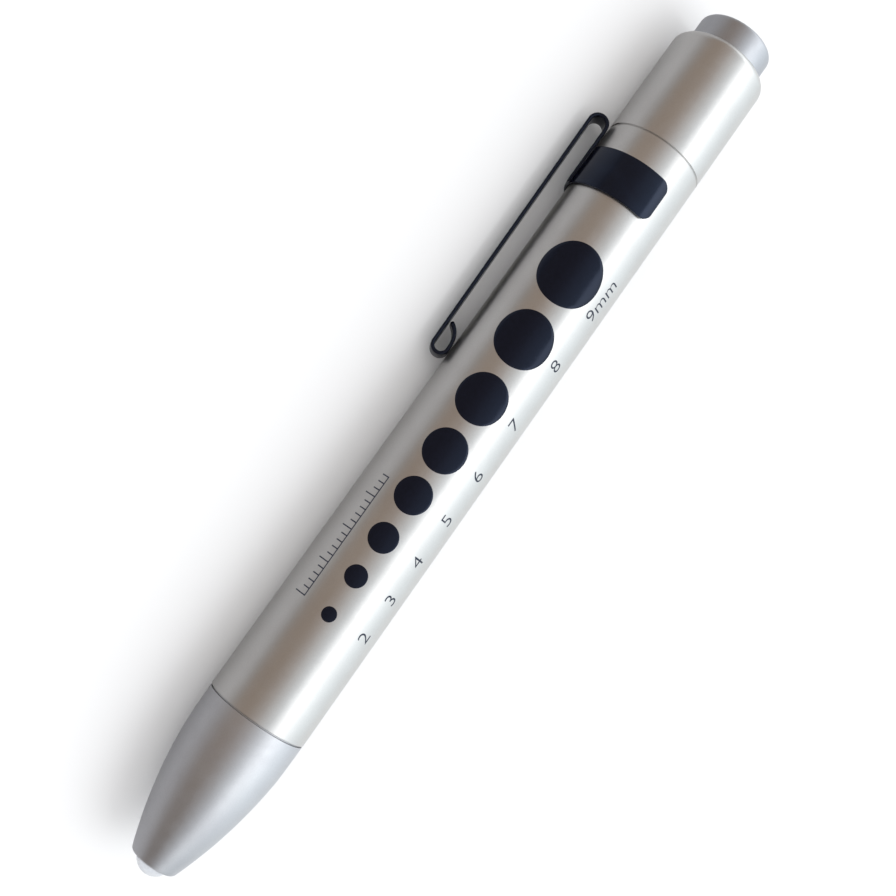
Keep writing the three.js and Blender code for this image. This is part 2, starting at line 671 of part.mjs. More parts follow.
function switchCover() {
  const ceiling = COVER_TO - COVER_WALL_THICKNESS;
  return turned([
    [COVER_FROM, COVER_BORE_RADIUS],
    [COVER_FROM, SWITCH_RADIUS],
    [COVER_TO, SWITCH_RADIUS],
    [COVER_TO, STEM_RADIUS + LIP_CLEARANCE],
    [ceiling, STEM_RADIUS + LIP_CLEARANCE],
    [ceiling, COVER_BORE_RADIUS],
  ]);
}

// Flat contact on the switch base's inner face.
function contactPad(width, y) {
  const from = BASE_TO + CONTACT_GAP;
  return block(from, BASE_TO + CONTACT_THICKNESS, width, PAD_LENGTH, y, 0);
}

// The rivet carries current from the spring plate to a pad inside the switch.
function rivetContact() {
  const from = BASE_FROM - CONTACT_GAP;
  const to = BASE_TO + MOVING_GAP;
  const shank = rod(from, to, RIVET_RADIUS, RIVET_OFFSET, 0, RIVET_SEGMENTS);
  return join(shank, contactPad(RIVET_PAD_WIDTH, RIVET_OFFSET));
}

// The second pad reaches towards the cap's wall at the edge of the base.
const capContact = () => contactPad(CAP_PAD_WIDTH, CAP_PAD_OFFSET);

// ---- assembly -----------------------------------------------------------------------------

const pen = new THREE.Group();

function add(name, finish, geometry) {
  const mesh = new THREE.Mesh(geometry, new THREE.MeshStandardMaterial(FINISHES[finish]));
  mesh.name = name;
  pen.add(mesh);
}

add('barrel_tube', 'barrel', barrelTube());
add('barrel_o_ring', 'rubber', closedMesh(oRing(BARREL_TAIL_FACE)));
add('clip_band', 'clip', clipBand());
add('clip_arm', 'clip', closedMesh(clipArm()));

for (const number of [1, 2]) {
  const { jacket, nub, plate } = cellPieces(number);
  add(`cell_${number}_jacket`, 'cell_jacket', closedMesh(jacket));
  add(`cell_${number}_positive_cap`, 'steel', closedMesh(nub));
  add(`cell_${number}_negative_plate`, 'steel', closedMesh(plate));
}

add('nose_cone', 'nose', noseCone());
add('nose_o_ring', 'rubber', closedMesh(oRing(NOSE_FACE)));
add('lamp_dome', 'lamp', closedMesh(lamp()));
add('lamp_bush', 'black_plastic', lampBush());
add('lamp_anode_lead', 'steel', closedMesh(lampLead(1)));
add('lamp_cathode_lead', 'steel', closedMesh(lampLead(-1)));
add('module_carrier', 'white_plastic', closedMesh(moduleCarrier()));
add('driver_board', 'board', driverBoard());
add('board_resistor', 'black_plastic', boardPart(RESISTOR));
add('board_chip', 'black_plastic', boardPart(CHIP));
add('spring_seat', 'brass', closedMesh(springSeat()));
add('front_spring', 'brass', closedMesh(frontSpring()));

add('tail_cap', 'barrel', tailCap());
add('tail_spring', 'steel', closedMesh(tailSpring()));
add('spring_plate', 'brass', closedMesh(springPlate()));
add('retaining_ring', 'brass', closedMesh(retainingRing()));
add('switch_base', 'black_plastic', switchBase());
add('switch_cover', 'black_plastic', closedMesh(switchCover()));
add('rivet_contact', 'brass', rivetContact());
add('cap_contact', 'brass', capContact());
add('return_spring', 'steel', closedMesh(returnSpring()));
add('push_button', 'button', closedMesh(pushButton()));
add('plunger', 'white_plastic', closedMesh(plunger()));
add('bridge_contact', 'brass', closedMesh(bridgeContact()));

// The pen lies on its clip and band; the origin is under the middle of its bounding box.
pen.rotation.x = CLIP_TILT;
const penlight = new THREE.Group();
penlight.add(pen);
penlight.updateMatrixWorld(true);
const box = new THREE.Box3().setFromObject(penlight, true);
const middle = box.getCenter(new THREE.Vector3());
pen.position.set(-middle.x, -middle.y, -box.min.z);

export default penlight;
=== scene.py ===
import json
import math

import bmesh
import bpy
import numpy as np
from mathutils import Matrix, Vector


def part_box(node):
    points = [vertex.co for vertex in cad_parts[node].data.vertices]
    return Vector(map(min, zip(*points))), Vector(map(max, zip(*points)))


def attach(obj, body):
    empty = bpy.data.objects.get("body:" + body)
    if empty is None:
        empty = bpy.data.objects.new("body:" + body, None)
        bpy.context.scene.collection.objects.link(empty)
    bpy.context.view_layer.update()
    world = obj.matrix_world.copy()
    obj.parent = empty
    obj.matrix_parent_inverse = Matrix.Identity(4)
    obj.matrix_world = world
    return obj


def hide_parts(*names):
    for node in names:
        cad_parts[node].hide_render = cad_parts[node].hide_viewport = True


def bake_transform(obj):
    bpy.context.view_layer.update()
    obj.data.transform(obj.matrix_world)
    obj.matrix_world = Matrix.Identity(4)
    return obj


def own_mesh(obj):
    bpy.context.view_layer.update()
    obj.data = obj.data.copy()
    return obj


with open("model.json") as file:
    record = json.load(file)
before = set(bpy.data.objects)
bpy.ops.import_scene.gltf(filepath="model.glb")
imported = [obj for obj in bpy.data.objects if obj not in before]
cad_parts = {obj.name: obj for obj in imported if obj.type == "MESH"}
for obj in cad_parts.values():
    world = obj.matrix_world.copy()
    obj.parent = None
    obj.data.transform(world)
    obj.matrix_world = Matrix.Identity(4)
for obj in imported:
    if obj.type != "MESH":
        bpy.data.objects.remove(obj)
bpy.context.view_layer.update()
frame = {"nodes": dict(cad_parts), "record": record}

# Looks of a two-cell diagnostic penlight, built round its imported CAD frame.
#
# Shapes are drawn in millimetres in the pen's own frame and turned into metres in the row frame
# as each mesh is made. A station is the distance from the joint between nose and barrel,
# positive towards the push button, and the pen's x is minus the station. The clip is on the
# pen's -Y side. Angles round the pen start at its +Z side and grow towards +Y, so that the clip
# is at -90 degrees and the printed spots are near 0.

# ---- dimensions, in millimetres ----

MM = 0.001
CLIP_TILT = math.radians(37.6)
SEAM_GAP = 0.2

# Fineness. Creases and fillet steps are in degrees.
SEGMENTS = 160
INNER_SEGMENTS = 96
FILLET_STEP = 15
FILLET_MIN_STEPS = 3
AXIS_TOLERANCE = 1e-6
CREASE = 34
PRINT_CREASE = 30
CLIP_CREASE = 40

# Fillets.
EDGE = 0.09
SMALL_EDGE = 0.06
BORE_EDGE = 0.08
INNER_EDGE = 0.05
LIP_EDGE = 0.03
SPIGOT_END_EDGE = 0.15

BODY_RADIUS = 7.1
BARREL_END = 90.55
CAP_END = 107.3
CAP_CORNER = 1.3
BUTTON_RADIUS = 5.5
BUTTON_END = 111.4
BUTTON_CORNER = 0.7

NOSE_RIM = -22.0
NOSE_TAPER_START = -5.5
NOSE_TAPER_RADIUS = 6.94
NOSE_TAPER_SLOPE = math.radians(4.6)
NOSE_ARC_RADIUS = 60.0
NOSE_ARC_STEPS = 40
NOSE_INSET = 0.02
NOSE_RIM_EDGE = 0.4
NOSE_SHOULDER_LENGTH = 1.5
NOSE_SHOULDER_INSET = 0.08

BORE_RADIUS = 5.4
THREAD_PITCH = 1.0
MALE_ROOT = 5.95
MALE_CREST = 6.3
FEMALE_CREST = 6.1
FEMALE_ROOT = 6.45
THREAD_BASE_WIDTH = 0.5
THREAD_CREST_WIDTH = 0.2
THREAD_EMBED = 0.1
THREAD_TURNS = 3
THREAD_FADE = 0.125
THREAD_END_HEIGHT = 0.02
THREAD_INSET = 0.35
SPIGOT_LENGTH = 5.7
SOCKET_DEPTH = 6.1
GROOVE_FROM = 0.5
GROOVE_WIDTH = 1.1
GROOVE_RADIUS = 5.68
LIP_WIDTH = 0.16
NOSE_LIP_RADIUS = 6.72
TAIL_LIP_RADIUS = 6.96
TAIL_STEP = 0.08
TAIL_STEP_EDGE = 0.04
SEAL_STRETCH = 0.04
SEAL_CLEARANCE = 0.06

CLIP_THICKNESS = 0.5
CLIP_WIDTH = 3.2
CLIP_CLEARANCE = 0.06
CLIP_LEG_CORNER = 0.5
CLIP_TAIL_CORNER = 0.9
CLIP_STEP = 0.12
CLIP_ARC_STEPS = 60
BAND_FROM = 80.3
BAND_TO = 86.4
BAND_SHEET = 0.4
BAND_HALF_ANGLE = math.radians(124)
BAND_CORNER = 1.5
BAND_STEP = 0.25
LEG_START = 80.7
LOOP_STATION = 89.65
LOOP_RADIUS = 1.3
CURL_STATION = 52.55
CURL_HEIGHT = 9.6
CURL_RADIUS = 1.1

# The clip's free end past the curl. Its flat and its knee are shares of its length and rise.
CLIP_TAIL_LENGTH = 3.45
CLIP_TAIL_RISE = 1.75
CLIP_TAIL_STEPS = 24
CLIP_TAIL_FLAT = 0.5
CLIP_TAIL_KNEE = 0.78
CLIP_TAIL_KNEE_RISE = 0.25

# A sheet's rounded edge as a share of its thickness, the most that it may take of the half
# thickness, and the places along a rounded end, in degrees.
SHEET_EDGE = 0.42
SHEET_EDGE_LIMIT = 0.98
SHEET_END_ANGLES = (0, 12, 25, 40, 55, 72, 90)

LAMP_RADIUS = 2.5
LAMP_CENTRE = -21.2
LAMP_BASE = -15.6
LAMP_FLANGE_RADIUS = 2.9
LAMP_FLANGE_LENGTH = 1.0
LAMP_DOME_STEPS = 24
LAMP_HOLE_RADIUS = 2.64
BUSH_SEAT = -17.3
BUSH_RADIUS = 3.9
MODULE_SEAT = -12.4
MODULE_RADIUS = 4.8
MODULE_CLEARANCE = 0.1
CAVITY_END = -4.0

CELL_RADIUS = 5.25
CELL_LENGTH = 44.5
CELL_FRONT = -2.0
CELL_GAP = 0.1
CELL_CORNER = 0.5
CELL_NUB_RADIUS = 1.9
CELL_NUB_EDGE = 0.25
CELL_NUB_LENGTH = 0.95
CELL_FILM_FROM = 1.0
CELL_FILM_SHORT = 0.35
CELL_PLATE_RADIUS = 4.5
CELL_PLATE_THICKNESS = 0.3
CELL_PLATE_EDGE = 0.1

CAP_BORE = 6.05
CAP_SOCKET_END = 96.45
CAP_LIP_FACE = 104.5
BUTTON_CLEARANCE = 0.12
BUTTON_BORE = 4.3
BUTTON_CEILING = 109.7
FLANGE_FROM = 103.4
FLANGE_RADIUS = 5.93
FLANGE_GAP = 0.2
PLATE_FROM = 97.25
COVER_TO = 101.7

# Springs. The two end turns are closed up to a share of the pitch between them.
SPRING_GAP = 0.1
COIL_END_PITCH = 0.45
COIL_END_TURNS = 0.4
RETURN_COIL = {"radius_start": 2.9, "radius_end": 2.9, "turns": 5, "wire": 0.45}
TAIL_COIL = {"radius_start": 2.4, "radius_end": 4.0, "turns": 5, "wire": 0.7}
FRONT_COIL = {"radius_start": 3.1, "radius_end": 1.5, "turns": 3.5, "wire": 0.5}
WASHER_FROM = -6.55
WASHER_TO = -6.25
WASHER_BORE = 2.2
WASHER_RADIUS = 4.0

SPOT_SIZES = (2, 3, 4, 5, 6, 7, 8, 9)
SPOT_STATIONS = (15.87, 21.58, 27.42, 33.88, 40.79, 48.91, 58.34, 68.81)
SPOT_ANGLE = math.radians(0.5)
NUMBER_ANGLE = math.radians(49)
NUMBER_HEIGHT = 1.95
NUMBER_STRETCH = 1.14
NUMBER_THINNED = 0.011
LAST_NUMBER_STATION = 68.9
RULER_FROM = 16.0
RULER_MARKS = 19
RULER_ANGLE = math.radians(-33)
RULER_LONG_EVERY = 5
RULER_LONG_MARK = 1.7
RULER_SHORT_MARK = 1.0
RULER_STROKE = 0.16
RULER_BASE_STROKE = 0.14
PRINT_HEIGHT = 0.012
PRINT_DEPTH = 0.02
PRINT_RIM = 0.01
PRINT_RIM_DROP = 0.006

# The built-in type, in its own units.
TYPE_THICKNESS = 0.01
TYPE_FINENESS = 8
TYPE_WELD = 1e-5

# The camera's near and far limits are in metres.
CAMERA_STATION = 23.16
CAMERA_HEIGHT = 161.24
CAMERA_TURN = math.radians(54.61)
CAMERA_TIP = math.radians(6.70)
CAMERA_LEAN = math.radians(0.05)
CAMERA_LENS = 49.6
CAMERA_SENSOR = 36.0
CAMERA_NEAR = 0.01
CAMERA_FAR = 20


# ---- placing ----

def pen_to_row():
    """The pen's millimetres to the row frame's metres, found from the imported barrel."""
    low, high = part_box("barrel_tube")
    middle = (low + high) / 2
    joint = high.x + SEAM_GAP / 2 * MM
    roll = Matrix.Rotation(CLIP_TILT, 4, "X")
    return Matrix.Translation((joint, middle.y, middle.z)) @ roll @ Matrix.Scale(MM, 4)


PEN = pen_to_row()


def around(station, angle, radius):
    """Point at a station, at an angle round the pen and at a distance from its axis."""
    return Vector((-station, radius * math.sin(angle), radius * math.cos(angle)))


def side_point(station, height):
    """Point in the clip's own plane at a distance from the axis."""
    return Vector((-station, -height, 0))


# ---- shells: lists of points and of faces in the pen's millimetres ----

def soften(outline):
    """Outline rows (station, radius, fillet) with an exact arc in place of each filleted corner."""
    closed = outline[0][1] > 0 and outline[-1][1] > 0
    count = len(outline)
    rows = []
    for i, (station, radius, *fillet) in enumerate(outline):
        here = Vector((station, radius))
        if not fillet or (not closed and i in (0, count - 1)):
            rows.append((station, radius))
            continue
        before = (Vector(outline[i - 1][:2]) - here).normalized()
        after = (Vector(outline[(i + 1) % count][:2]) - here).normalized()
        turn = math.pi - before.angle(after)
        reach = fillet[0] * math.tan(turn / 2)
        centre = here + (before + after).normalized() * fillet[0] / math.cos(turn / 2)
        first = here + before * reach - centre
        last = here + after * reach - centre
        square = (last - first * math.cos(turn)) / math.sin(turn)
        steps = max(FILLET_MIN_STEPS, round(math.degrees(turn) / FILLET_STEP))
        for k in range(steps + 1):
            spot = centre + first * math.cos(turn * k / steps) + square * math.sin(turn * k / steps)
            rows.append((spot.x, spot.y))
    return rows


def bridge(first, second, count):
    """Quads between two rings of points that start at the given indices."""
    return [
        (first + k, first + (k + 1) % count, second + (k + 1) % count, second + k)
        for k in range(count)
    ]


def turned(outline, segments=SEGMENTS, y=0.0, z=0.0):
    """Turned shell from (station, radius[, fillet]) rows, about the pen's axis or one beside it."""
    rows = soften(outline)
    points, faces, rings = [], [], []
    for station, radius in rows:
        size = segments if radius > AXIS_TOLERANCE else 1
        rings.append((len(points), size))
        for k in range(size):
            points.append(around(station, 2 * math.pi * k / segments, radius) + Vector((0, y, z)))
    pairs = list(zip(rings, rings[1:]))
    if rings[0][1] > 1 and rings[-1][1] > 1:
        pairs.append((rings[-1], rings[0]))
    for (first, size), (second, next_size) in pairs:
        if size > 1 and next_size > 1:
            faces += bridge(first, second, segments)
        elif size > 1:
            faces += [(first + k, first + (k + 1) % segments, second) for k in range(segments)]
        elif next_size > 1:
            faces += [(second + k, second + (k + 1) % segments, first) for k in range(segments)]
    return points, faces


def sleeve(start, end, inner, outer, fillet=SMALL_EDGE, segments=INNER_SEGMENTS):
    """Ring or tube with its four edges eased."""
    corners = ((start, inner), (start, outer), (end, outer), (end, inner))
    return turned([(*corner, fillet) for corner in corners], segments)


def disc(start, end, radius, fillet=SMALL_EDGE, segments=INNER_SEGMENTS):
    """Disc or rod on the axis with its two edges eased."""
    return turned([(start, 0), (start, radius, fillet), (end, radius, fillet), (end, 0)], segments)


def thread_ridge(start, base_radius, crest_radius, steps_per_turn=96):
    """Right-hand helical ridge that fades in and out, from the larger station towards the lamp."""
    base, crest = THREAD_BASE_WIDTH / 2, THREAD_CREST_WIDTH / 2
    section = (
        (-base, base_radius), (-crest, crest_radius), (crest, crest_radius), (base, base_radius),
    )
    steps = THREAD_TURNS * steps_per_turn
    points, faces = [], []
    for step in range(steps + 1):
        turn = step / steps_per_turn
        angle = -2 * math.pi * turn
        from_end = min(turn, THREAD_TURNS - turn)
        grown = min(1, from_end / THREAD_FADE + THREAD_END_HEIGHT)
        for along, radius in section:
            station = start - THREAD_PITCH * turn - along * grown
            points.append(around(station, angle, base_radius + (radius - base_radius) * grown))
        if step:
            faces += bridge(4 * step - 4, 4 * step, 4)
    faces += [(3, 2, 1, 0), tuple(range(4 * steps, 4 * steps + 4))]
    return points, faces


def coil(start, end, radius_start, radius_end, turns, wire, sides=14, steps_per_turn=44):
    """Wound spring between two faces. Its end turns lie closer than the turns between them."""
    steps = round(turns * steps_per_turn)
    share = np.linspace(0, 1, steps + 1)
    near_end = np.minimum(share, 1 - share) * turns
    pitch = COIL_END_PITCH + (1 - COIL_END_PITCH) * np.clip(near_end - COIL_END_TURNS, 0, 1)
    travel = np.concatenate(([0], np.cumsum((pitch[1:] + pitch[:-1]) / 2)))
    travel /= travel[-1]
    first, last = start + wire / 2, end - wire / 2
    points, faces = [], []
    for step, (part, moved) in enumerate(zip(share, travel)):
        angle = -2 * math.pi * turns * part
        radius = radius_start + (radius_end - radius_start) * part
        station = first + (last - first) * moved
        for k in range(sides):
            turn = 2 * math.pi * k / sides
            out, along = wire / 2 * math.cos(turn), wire / 2 * math.sin(turn)
            points.append(around(station + along, angle, radius + out))
        if step:
            faces += bridge(sides * (step - 1), sides * step, sides)
    faces += [tuple(range(sides)), tuple(range(sides * steps, sides * (steps + 1)))]
    return points, faces


def ring_seal(centre, inner, outer, sides=20):
    """Round-section seal ring."""
    wire = (outer - inner) / 2
    rows = []
    for k in range(sides):
        turn = 2 * math.pi * k / sides
        rows.append((centre + wire * math.cos(turn), inner + wire + wire * math.sin(turn)))
    return turned(rows, INNER_SEGMENTS)


def rounded_inset(distance, corner):
    """How far a rounded corner draws the edge in at a distance from the end."""
    if corner <= 0 or distance >= corner:
        return 0.0
    return corner - math.sqrt(corner ** 2 - (corner - distance) ** 2)


def ribbon(frame_at, length, across, thickness, width, corner_start, corner_end, step):
    """Sheet strip with rounded edges and corners. frame_at(distance) gives centre and normal."""
    edge = SHEET_EDGE * thickness
    quarter = [math.sin(math.radians(a)) for a in SHEET_END_ANGLES]
    corners = (edge, corner_start, corner_end)
    near = sorted({round(corner * (1 - q), 5) for corner in corners for q in quarter})
    places = set(near) | {length - d for d in near} | set(np.arange(0, length, step)) | {length}
    places = sorted(p for p in places if 0 <= p <= length)
    corner_steps = 4
    size = 4 * (corner_steps + 1)
    points, faces = [], []
    for order, place in enumerate(places):
        centre, normal = frame_at(place)
        inset = max(rounded_inset(place, corner_start), rounded_inset(length - place, corner_end))
        pinch = rounded_inset(min(place, length - place), edge)
        half_width, half_height = width / 2 - inset, thickness / 2 - pinch
        ease = min(edge, half_height, half_width) * SHEET_EDGE_LIMIT
        for quadrant, (high, wide) in enumerate(((1, 1), (1, -1), (-1, -1), (-1, 1))):
            for k in range(corner_steps + 1):
                turn = math.pi / 2 * (quadrant + k / corner_steps)
                rise = high * (half_height - ease) + ease * math.sin(turn)
                reach = wide * (half_width - ease) + ease * math.cos(turn)
                points.append(centre + normal * rise + across * reach)
        if order:
            faces += bridge(size * (order - 1), size * order, size)
    faces += [tuple(range(size)), tuple(range(size * (len(places) - 1), size * len(places)))]
    return points, faces


def path_frames(path):
    """Length of a polyline in the clip's plane, and its centre and normal at any distance."""
    spots = np.array([p[:2] for p in path])
    legs = np.linalg.norm(np.diff(spots, axis=0), axis=1)
    reached = np.concatenate(([0], np.cumsum(legs)))
    slopes = np.gradient(spots, reached, axis=0)

    def frame_at(distance):
        x, y, dx, dy = (
            np.interp(distance, reached, values)
            for values in (spots[:, 0], spots[:, 1], slopes[:, 0], slopes[:, 1])
        )
        return Vector((x, y, 0)), Vector((-dy, dx, 0)).normalized()

    return reached[-1], frame_at


# ---- pieces ----

def piece(name, body, look, shells, replaced=(), crease=CREASE):
    """One mesh object from shells, riding on a body and standing for its CAD nodes."""
    points, faces = [], []
    for shell_points, shell_faces in shells:
        offset = len(points)
        points += [PEN @ Vector(p) for p in shell_points]
        faces += [tuple(offset + i for i in face) for face in shell_faces]
    mesh = bpy.data.meshes.new(name)
    mesh.from_pydata(points, [], faces)
    made = bmesh.new()
    made.from_mesh(mesh)
    bmesh.ops.recalc_face_normals(made, faces=made.faces)
    made.to_mesh(mesh)
    made.free()
    mesh.polygons.foreach_set("use_smooth", [True] * len(mesh.polygons))
    mesh.set_sharp_from_angle(angle=math.radians(crease))
    mesh.materials.append(look)
    item = bpy.data.objects.new(name, mesh)
    bpy.context.scene.collection.objects.link(item)
    if body:
        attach(item, body)
    if replaced:
        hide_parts(*replaced)
    return item


# ---- shader building ----

def add_node(tree, kind, inputs=None, **settings):
    """Node with its settings made and its inputs linked or set."""
    made = tree.nodes.new(kind)
    for key, value in settings.items():
        setattr(made, key, value)
    for key, value in (inputs or {}).items():
        if isinstance(value, bpy.types.NodeSocket):
            tree.links.new(value, made.inputs[key])
        else:
            made.inputs[key].default_value = value
    return made


def fill_ramp(made, stops):
    """Gives a colour ramp its (position, colour) stops."""
    elements = made.color_ramp.elements
    while len(elements) < len(stops):
        elements.new(0.5)
    for element, (position, colour) in zip(elements, stops):
        element.position = position
        element.color = (*colour, 1)


class Look:
    """Small helper round one material's node tree."""

    def __init__(self, name):
        self.material = bpy.data.materials.new(name)
        self.material.use_nodes = True
        self.tree = self.material.node_tree
        self.tree.nodes.clear()
        coordinates = self.node("ShaderNodeTexCoord").outputs["Object"]
        turn = Matrix.Rotation(-CLIP_TILT, 3, "X")
        shift = -(turn @ PEN.to_translation()) / MM
        self.place = self.node(
            "ShaderNodeMapping",
            {"Vector": coordinates, "Location": shift, "Rotation": (-CLIP_TILT, 0, 0),
             "Scale": (1 / MM, 1 / MM, 1 / MM)},
        ).outputs["Vector"]

    def node(self, kind, inputs=None, **settings):
        return add_node(self.tree, kind, inputs, **settings)

    def stretched(self, scale):
        """The pen's millimetres, scaled along each axis."""
        inputs = {"Vector": self.place, "Scale": scale}
        return self.node("ShaderNodeMapping", inputs).outputs["Vector"]

    def noise(self, scale, detail=3.0, roughness=0.55, vector=None):
        """Noise over the pen's millimetres, or over a given vector."""
        inputs = {"Vector": vector or self.place, "Scale": scale, "Detail": detail,
                  "Roughness": roughness}
        return self.node("ShaderNodeTexNoise", inputs).outputs["Fac"]

    def ramp(self, factor, stops):
        """Colour ramp from (position, colour) stops."""
        made = self.node("ShaderNodeValToRGB", {"Fac": factor})
        fill_ramp(made, stops)
        return made.outputs["Color"]

    def spread(self, value, low, high, source_low=0.3, source_high=0.7):
        """A factor's middle range stretched to run from low to high."""
        inputs = {"Value": value, "From Min": source_low, "From Max": source_high,
                  "To Min": low, "To Max": high}
        return self.node("ShaderNodeMapRange", inputs).outputs["Result"]

    def mix(self, factor, first, second, blend="MIX"):
        """Two colours mixed by a factor. Each of them may be a socket or a constant."""
        first, second = (
            value if isinstance(value, bpy.types.NodeSocket) else (*value, 1)
            for value in (first, second)
        )
        inputs = {0: factor, 6: first, 7: second}
        return self.node("ShaderNodeMix", inputs, data_type="RGBA", blend_type=blend).outputs[2]

    def math(self, operation, first, second=0.0):
        return self.node("ShaderNodeMath", {0: first, 1: second}, operation=operation).outputs[0]

    def bump(self, height, depth, below=None):
        """Bump whose depth is in millimetres, over another bump if given."""
        inputs = {"Height": height, "Distance": depth * MM, "Strength": 1.0}
        if below is not None:
            inputs["Normal"] = below
        return self.node("ShaderNodeBump", inputs).outputs["Normal"]

    def finish(self, **inputs):
        """The material, from the principled shader's inputs in lower case with underscores."""
        named = {key.replace("_", " ").title().replace("Ior", "IOR"): value
                 for key, value in inputs.items()}
        for key, value in named.items():
            if isinstance(value, tuple) and len(value) == 3:
                named[key] = (*value, 1)
        surface = self.node("ShaderNodeBsdfPrincipled", named)
        output = self.node("ShaderNodeOutputMaterial")
        self.tree.links.new(surface.outputs["BSDF"], output.inputs["Surface"])
        return self.material


def blasted_metal(name, light, dark, roughness, grain=5.0, depth=0.006, streak=0.003):
    """Bead-blasted and anodised aluminium: fine grain, faint drawn streaks and soft clouding."""
    look = Look(name)
    clouds = look.noise(scale=0.16, detail=4.0)
    patches = look.noise(scale=0.9, detail=3.0)
    fine = look.noise(scale=grain, detail=4.0, roughness=0.65)
    drawn = look.stretched((0.05, 2.6, 2.6))
    streaks = look.noise(scale=1.0, detail=3.0, roughness=0.6, vector=drawn)
    colour = look.mix(look.spread(clouds, 0.0, 1.0), light, dark)
    speckle = look.spread(fine, 0.94, 1.05)
    colour = look.mix(0.55, colour, look.node(
        "ShaderNodeCombineColor", {"Red": speckle, "Green": speckle, "Blue": speckle},
    ).outputs["Color"], "MULTIPLY")
    rough = look.math("ADD", look.spread(patches, roughness - 0.03, roughness + 0.03),
                      look.spread(streaks, -0.02, 0.02))
    under = look.bump(streaks, depth=streak)
    normal = look.bump(fine, depth=depth, below=under)
    return look.finish(base_color=colour, metallic=1.0, roughness=rough, normal=normal)


ENAMEL_SHEEN = (0.55, 0.68, 1.0)


def gloss_enamel(name):
    """Black stoving enamel with a blue cast and a little orange peel."""
    look = Look(name)
    peel = look.noise(scale=1.1, detail=2.0)
    dust = look.noise(scale=7.0, detail=2.0)
    clouds = look.noise(scale=0.5)
    colour = look.ramp(clouds, [(0.3, (0.002, 0.002, 0.005)), (0.7, (0.003, 0.004, 0.009))])
    normal = look.bump(peel, depth=0.008, below=look.bump(dust, depth=0.001))
    rough = look.spread(dust, 0.13, 0.19)
    return look.finish(base_color=colour, metallic=0.0, roughness=rough, normal=normal, ior=1.5,
                       specular_tint=ENAMEL_SHEEN)


def ink(name, colour, sheen):
    """Screen-printed ink with a slightly uneven film over the blasted metal."""
    look = Look(name)
    film = look.noise(scale=2.2, detail=4.0)
    fine = look.noise(scale=6.0, detail=3.0)
    shade = look.mix(look.spread(film, 0.0, 0.5), colour, tuple(1.9 * c for c in colour))
    return look.finish(base_color=shade, roughness=look.spread(film, sheen - 0.04, sheen + 0.05),
                       ior=1.45, specular_tint=ENAMEL_SHEEN,
                       normal=look.bump(fine, depth=0.003, below=look.bump(film, depth=0.004)))


def moulded(name, colour, roughness, grain=4.0, depth=0.006, subsurface=0.0):
    """Moulded plastic or rubber with a fine grain and faint flow marks."""
    look = Look(name)
    fine = look.noise(scale=grain, detail=4.0)
    flow = look.noise(scale=0.5, detail=3.0, roughness=0.5, vector=look.stretched((0.4, 1.4, 1.4)))
    shade = look.mix(look.spread(flow, 0.0, 1.0), tuple(0.82 * c for c in colour), colour)
    rough = look.spread(fine, roughness - 0.06, roughness + 0.06)
    inputs = {
        "base_color": shade, "roughness": rough, "normal": look.bump(fine, depth=depth), "ior": 1.5,
    }
    if subsurface:
        inputs["subsurface_weight"] = subsurface
        inputs["subsurface_scale"] = 0.6 * MM
    return look.finish(**inputs)


def plated(name, light, dark, roughness):
    """Plated or bare drawn metal with fine drawing lines and handling marks."""
    look = Look(name)
    lines = look.noise(scale=6.0, detail=3.0, roughness=0.6, vector=look.stretched((2.0, 0.7, 0.7)))
    tarnish = look.noise(scale=0.8, detail=5.0)
    fine = look.noise(scale=9.0, detail=2.0)
    share = look.spread(tarnish, 0.0, 1.0, source_low=0.35, source_high=0.75)
    colour = look.mix(share, light, dark)
    return look.finish(base_color=colour, metallic=1.0,
                       roughness=look.spread(lines, roughness - 0.05, roughness + 0.08),
                       normal=look.bump(fine, depth=0.001, below=look.bump(lines, depth=0.003)))


def epoxy_lamp(name):
    """Clear moulded epoxy with a faint blue tint and a few flow lines."""
    look = Look(name)
    flow = look.noise(scale=0.9, detail=3.0, roughness=0.5, vector=look.stretched((0.5, 1.2, 1.2)))
    fine = look.noise(scale=6.0, detail=2.0)
    colour = look.ramp(flow, [(0.3, (0.88, 0.92, 0.98)), (0.7, (0.95, 0.97, 1.0))])
    return look.finish(base_color=colour, roughness=look.spread(fine, 0.05, 0.12), ior=1.53,
                       transmission_weight=0.35, coat_weight=0.4, coat_roughness=0.04,
                       normal=look.bump(flow, depth=0.006))


def cell_film(name):
    """Shrunk film of a cell: a dark body and a pale band at the positive end."""
    look = Look(name)
    along = look.node("ShaderNodeSeparateXYZ", {"Vector": look.place}).outputs["X"]
    from_front = look.math("SUBTRACT", -CELL_FRONT, along)
    from_front = look.math("MODULO", from_front, CELL_LENGTH + CELL_GAP)
    share = look.math("DIVIDE", from_front, CELL_LENGTH)
    bands = look.ramp(share, [
        (0.0, (0.62, 0.63, 0.65)), (0.20, (0.66, 0.67, 0.69)), (0.205, (0.72, 0.45, 0.12)),
        (0.235, (0.72, 0.45, 0.12)), (0.24, (0.05, 0.13, 0.24)), (0.96, (0.06, 0.15, 0.27)),
        (0.965, (0.6, 0.6, 0.62)), (1.0, (0.6, 0.6, 0.62)),
    ])
    drawn = look.stretched((0.3, 1.6, 1.6))
    wrinkle = look.noise(scale=0.5, detail=4.0, roughness=0.5, vector=drawn)
    fine = look.noise(scale=5.0, detail=3.0)
    shade = look.mix(look.spread(fine, 0.0, 0.12), bands, (0.02, 0.02, 0.03))
    return look.finish(base_color=shade, metallic=0.35, roughness=look.spread(fine, 0.24, 0.34),
                       normal=look.bump(wrinkle, depth=0.02))


